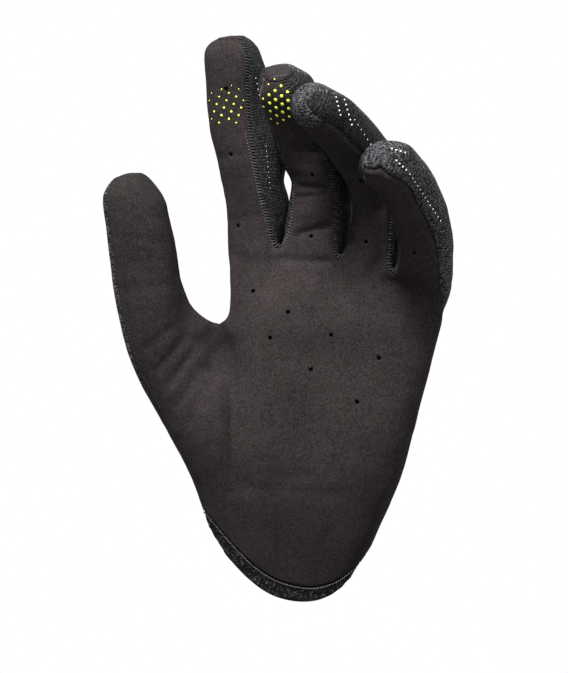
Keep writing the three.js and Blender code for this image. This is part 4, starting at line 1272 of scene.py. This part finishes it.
# Loose bright stitches of the knit that catch the light: short rows along the fingers' backs,
# each from one place seen in front to another, with their number and size
fleckLook = {"diameter": 1.0, "height": 0.4, "rise": 0.1}
fleckRows = {
    "ring 1": ((19.6, 175.2), (21.4, 168.0), 5, 0.75),
    "ring 2": ((23.0, 174.2), (26.0, 164.0), 6, 0.8),
    "ring 3": ((27.2, 166.0), (33.8, 156.0), 6, 0.5),
    "little 1": ((42.4, 154.2), (47.8, 152.6), 4, 0.75),
    "little 2": ((44.2, 149.4), (48.2, 145.6), 4, 0.75),
    "little 3": ((49.8, 143.8), (62.2, 124.8), 13, 0.55),
    "index, upper": ((-13.2, 183.0), (-10.4, 171.5), 6, 0.55),
    "index, lower": ((-9.0, 155.3), (-7.3, 138.2), 9, 0.32),
}
fleckPoints = []
for (x0, z0), (x1, z1), count, size in fleckRows.values():
    for t in spread(0, 1, count - 1):
        hit = castFromCamera(lerp(x0, x1, t), lerp(z0, z1, t))
        if hit is not None and hit[2] not in suedePanels:
            fleckPoints.append((hit[0] + hit[1] * fleckLook["rise"], hit[1], size))
flecks = applyGroup(pointMesh("knitFlecks", fleckPoints), dots, {
    "Diameter": fleckLook["diameter"] * mm, "Height": fleckLook["height"] * mm, "Slant": 0.0,
    "Material": paleThread})
print("flecks:", len(fleckPoints))


# Wrist binding: a gathered elastic tape behind and below the hem, with fine ribs across it
binding = {
    "columns": 760, "height": 6.5, "overlap": 2.4, "thickness": 3, "edge": 0.375,
    "tuck": (-6, 60), "tuckAngle": 112, "tuckSharpness": 3,
    "gather": 0.6, "gatherPitch": 5.4, "rib": 0.28, "ribPitch": 1.45, "rounding": 2,
    "leftHeight": 0.8, "rightHeight": 0.42, "placeRounds": 2, "outRounds": 10,
    "looseSize": 9, "looseSeed": 2.2, "looseShift": 2.5, "looseShare": 0.6,
    "easeFrom": 2, "edgeFrom": 0.75, "edgeShare": 0.6,
}


# The wrist edge as one ordered loop, evenly resampled
def hemLoop(columns):
    edges = [e for e, users in edgeFaces.items() if len(users) == 1]
    chain = chainEdges(edges)[0]
    place = smoothLine(sheetCo[chain], binding["placeRounds"], True)
    out = smoothLine(sheetNormal[chain], binding["outRounds"], True)
    run = np.concatenate([[0], np.cumsum(np.linalg.norm(np.roll(place, -1, axis=0) - place, axis=1))])
    at = np.linspace(0, run[-1], columns, endpoint=False)
    close = lambda values: np.vstack([values, values[:1]])
    read = lambda values: np.stack([np.interp(at, run, close(values)[:, k]) for k in range(3)], axis=1)
    place, out = read(place), read(out)
    out /= np.linalg.norm(out, axis=1)[:, None]
    along = np.roll(place, -1, axis=0) - np.roll(place, 1, axis=0)
    along /= np.linalg.norm(along, axis=1)[:, None]
    below = np.cross(along, out)
    below *= -np.sign(below[:, 2])[:, None]
    out = np.cross(below, along)
    middle = place.mean(axis=0)
    flip = np.sign(((place - middle) * out).sum(axis=1))
    return place, out * flip[:, None], below, at, run[-1]


def bindingSection():
    gap, edge = cloth["seamGap"], binding["edge"]
    tongue = cloth["meshWall"] + gap
    h, t, o = binding["height"], binding["thickness"], binding["overlap"]
    section = [(tongue + edge, -o), (tongue, edge - o), (tongue, gap), (edge, gap), (0, gap + edge),
               (0, h - 2 * edge), (2 * edge, h), (t - 2 * edge, h), (t, h - 2 * edge), (t, 0),
               (t, edge - o), (t - edge, -o)]
    for _ in range(binding["rounding"]):
        cut = []
        for a, b in zip(section, section[1:] + section[:1]):
            cut += [(lerp(a[0], b[0], share), lerp(a[1], b[1], share)) for share in (0.25, 0.75)]
        section = cut
    return section


# How far the tape is turned in at each place round the wrist, most at its outer side
def tapeTuck(place):
    middle = place.mean(axis=0)
    angle = np.degrees(np.arctan2(place[:, 0] - middle[0], middle[1] - place[:, 1]))
    turn = np.maximum(0, np.cos(np.radians(angle - binding["tuckAngle"]))) ** binding["tuckSharpness"]
    return angle, np.radians(lerp(binding["tuck"][0], binding["tuck"][1], turn))


def addBinding():
    place, out, below, at, around = hemLoop(binding["columns"])
    section = bindingSection()
    middle = place.mean(axis=0)
    angle, tuck = tapeTuck(place)
    ribs = round(around / binding["ribPitch"])
    gathers = round(around / binding["gatherPitch"])
    rib = np.cos(2 * math.pi * ribs * at / around)
    loose = noiseAt(place, binding["looseSize"], binding["looseSeed"])
    gather = np.cos(2 * math.pi * gathers * at / around + binding["looseShift"] * loose)
    gather *= binding["looseShare"] + loose
    # the tape grows narrower towards both sides of the wrist
    aside = np.sin(np.radians(angle))
    fall = lerp(1, np.where(aside > 0, binding["rightHeight"], binding["leftHeight"]), aside ** 2)
    rows = []
    for inside, down in section:
        hang = max(0.0, down - cloth["seamGap"])
        depth = np.full(len(place), float(inside))
        if hang > 0:
            ease = min(1, hang / binding["easeFrom"])
            # the folded lower edge is held flatter
            if down >= binding["height"] * binding["edgeFrom"]:
                ease *= binding["edgeShare"]
            depth += ease * (binding["gather"] * (1 - gather) / 2 + binding["rib"] * (1 - rib) / 2)
        x = np.where(hang > 0, depth * np.cos(tuck) + hang * fall * np.sin(tuck), depth)
        y = np.where(hang > 0, hang * fall * np.cos(tuck) - depth * np.sin(tuck) + cloth["seamGap"], down)
        rows.append(place - out * x[:, None] + below * y[:, None])
    co = np.stack(rows, axis=1).reshape(-1, 3)
    n, m = len(place), len(section)
    faces, uv = [], []
    for i in range(n):
        j = (i + 1) % n
        for k in range(m):
            l = (k + 1) % m
            faces.append((i * m + k, j * m + k, j * m + l, i * m + l))
            u0, u1 = i * around / n * mm, (i + 1) * around / n * mm
            uv.append(((u0, k * mm), (u1, k * mm), (u1, (k + 1) * mm), (u0, (k + 1) * mm)))
    faces = np.array(faces)
    # Faces run outwards when the volume that they enclose is positive
    q = co[faces]
    volume = (np.cross(q[:, 1] - q[:, 0], q[:, 2] - q[:, 0]) * (q.mean(axis=1) - middle)).sum()
    if volume < 0:
        faces = faces[:, ::-1]
    return addMesh("gatheredBinding", co, faces, np.array(uv), elastic)


bindingPiece = addBinding()

# Hem cord: pale twisted thread laid where the cloth ends and the tape begins
cord = {
    "columns": 416, "pitch": 1.0, "length": 1.1, "width": 0.36, "height": 0.36, "slant": 0.6,
    "uneven": 0.15, "rise": 0.05, "below": 0.75, "seed": 7, "thread": lightThread,
}
hemPlace, hemOut, hemBelow, _, _ = hemLoop(cord["columns"])
hemTuck = tapeTuck(hemPlace)[1][:, None]
cordDown = hemBelow * np.cos(hemTuck) - hemOut * np.sin(hemTuck)
cordOut = hemOut * np.cos(hemTuck) + hemBelow * np.sin(hemTuck)
cordPlace = hemPlace + cordOut * cord["rise"] + cordDown * cord["below"]
cordPiece = addStitches("hemCord", [(cordPlace, cordOut, True)], cord)
print("binding and cord:", len(bindingPiece.data.polygons), len(cordPiece.data.polygons))


# Every piece rides the glove's one body, and the cloth and the tape stand in for their panels
for name, obj in panels.items():
    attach(obj, "root")
    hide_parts(name)
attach(bindingPiece, "root")
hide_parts("cuff_binding")
for obj in dotPieces + sewnPieces + [flecks, ribs, cordPiece]:
    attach(obj, "root")


# Floor and light: a plain pale floor below the glove and soft lamps all round it
stageLook = {"floor": "#e4e4e3", "floorBelow": 620, "floorSize": 8000, "world": 1.0}
floorMesh = bpy.data.meshes.new("floor")
half = stageLook["floorSize"] / 2 * mm
level = -stageLook["floorBelow"] * mm
floorCorners = [(-half, -half, level), (half, -half, level), (half, half, level), (-half, half, level)]
floorMesh.from_pydata(floorCorners, [], [(0, 1, 2, 3)])
floor = bpy.data.objects.new("floor", floorMesh)
floorMesh.materials.append(plainMaterial("paleFloor", stageLook["floor"], 0.9, 0.2))
scene.collection.objects.link(floor)

world = bpy.data.worlds.new("studio")
world.use_nodes = True
world.node_tree.nodes["Background"].inputs[0].default_value = (1, 1, 1, 1)
world.node_tree.nodes["Background"].inputs[1].default_value = stageLook["world"]
scene.world = world
lamps = {
    "key": {"at": (-260, -620, 1050), "aim": (14, 0, 96), "size": 260, "spread": 22, "watts": 1.5},
    "fill": {"at": (420, -1050, 260), "aim": (0, 0, 80), "size": 500, "spread": 60, "watts": 0.5},
    "rim": {"at": (620, 260, 760), "aim": (30, 0, 120), "size": 300, "spread": 50, "watts": 0.3},
}
for name, lamp in lamps.items():
    data = bpy.data.lights.new(name, "AREA")
    data.size = lamp["size"] * mm
    data.energy = lamp["watts"]
    data.spread = math.radians(lamp["spread"])
    obj = bpy.data.objects.new(name, data)
    obj.location = Vector(lamp["at"]) * mm
    obj.rotation_euler = (Vector(lamp["aim"]) - Vector(lamp["at"])).to_track_quat("-Z", "Y").to_euler()
    scene.collection.objects.link(obj)
scene.view_settings.view_transform = "Standard"
scene.view_settings.look = "None"
print("stage: floor and", len(lamps), "lamps")
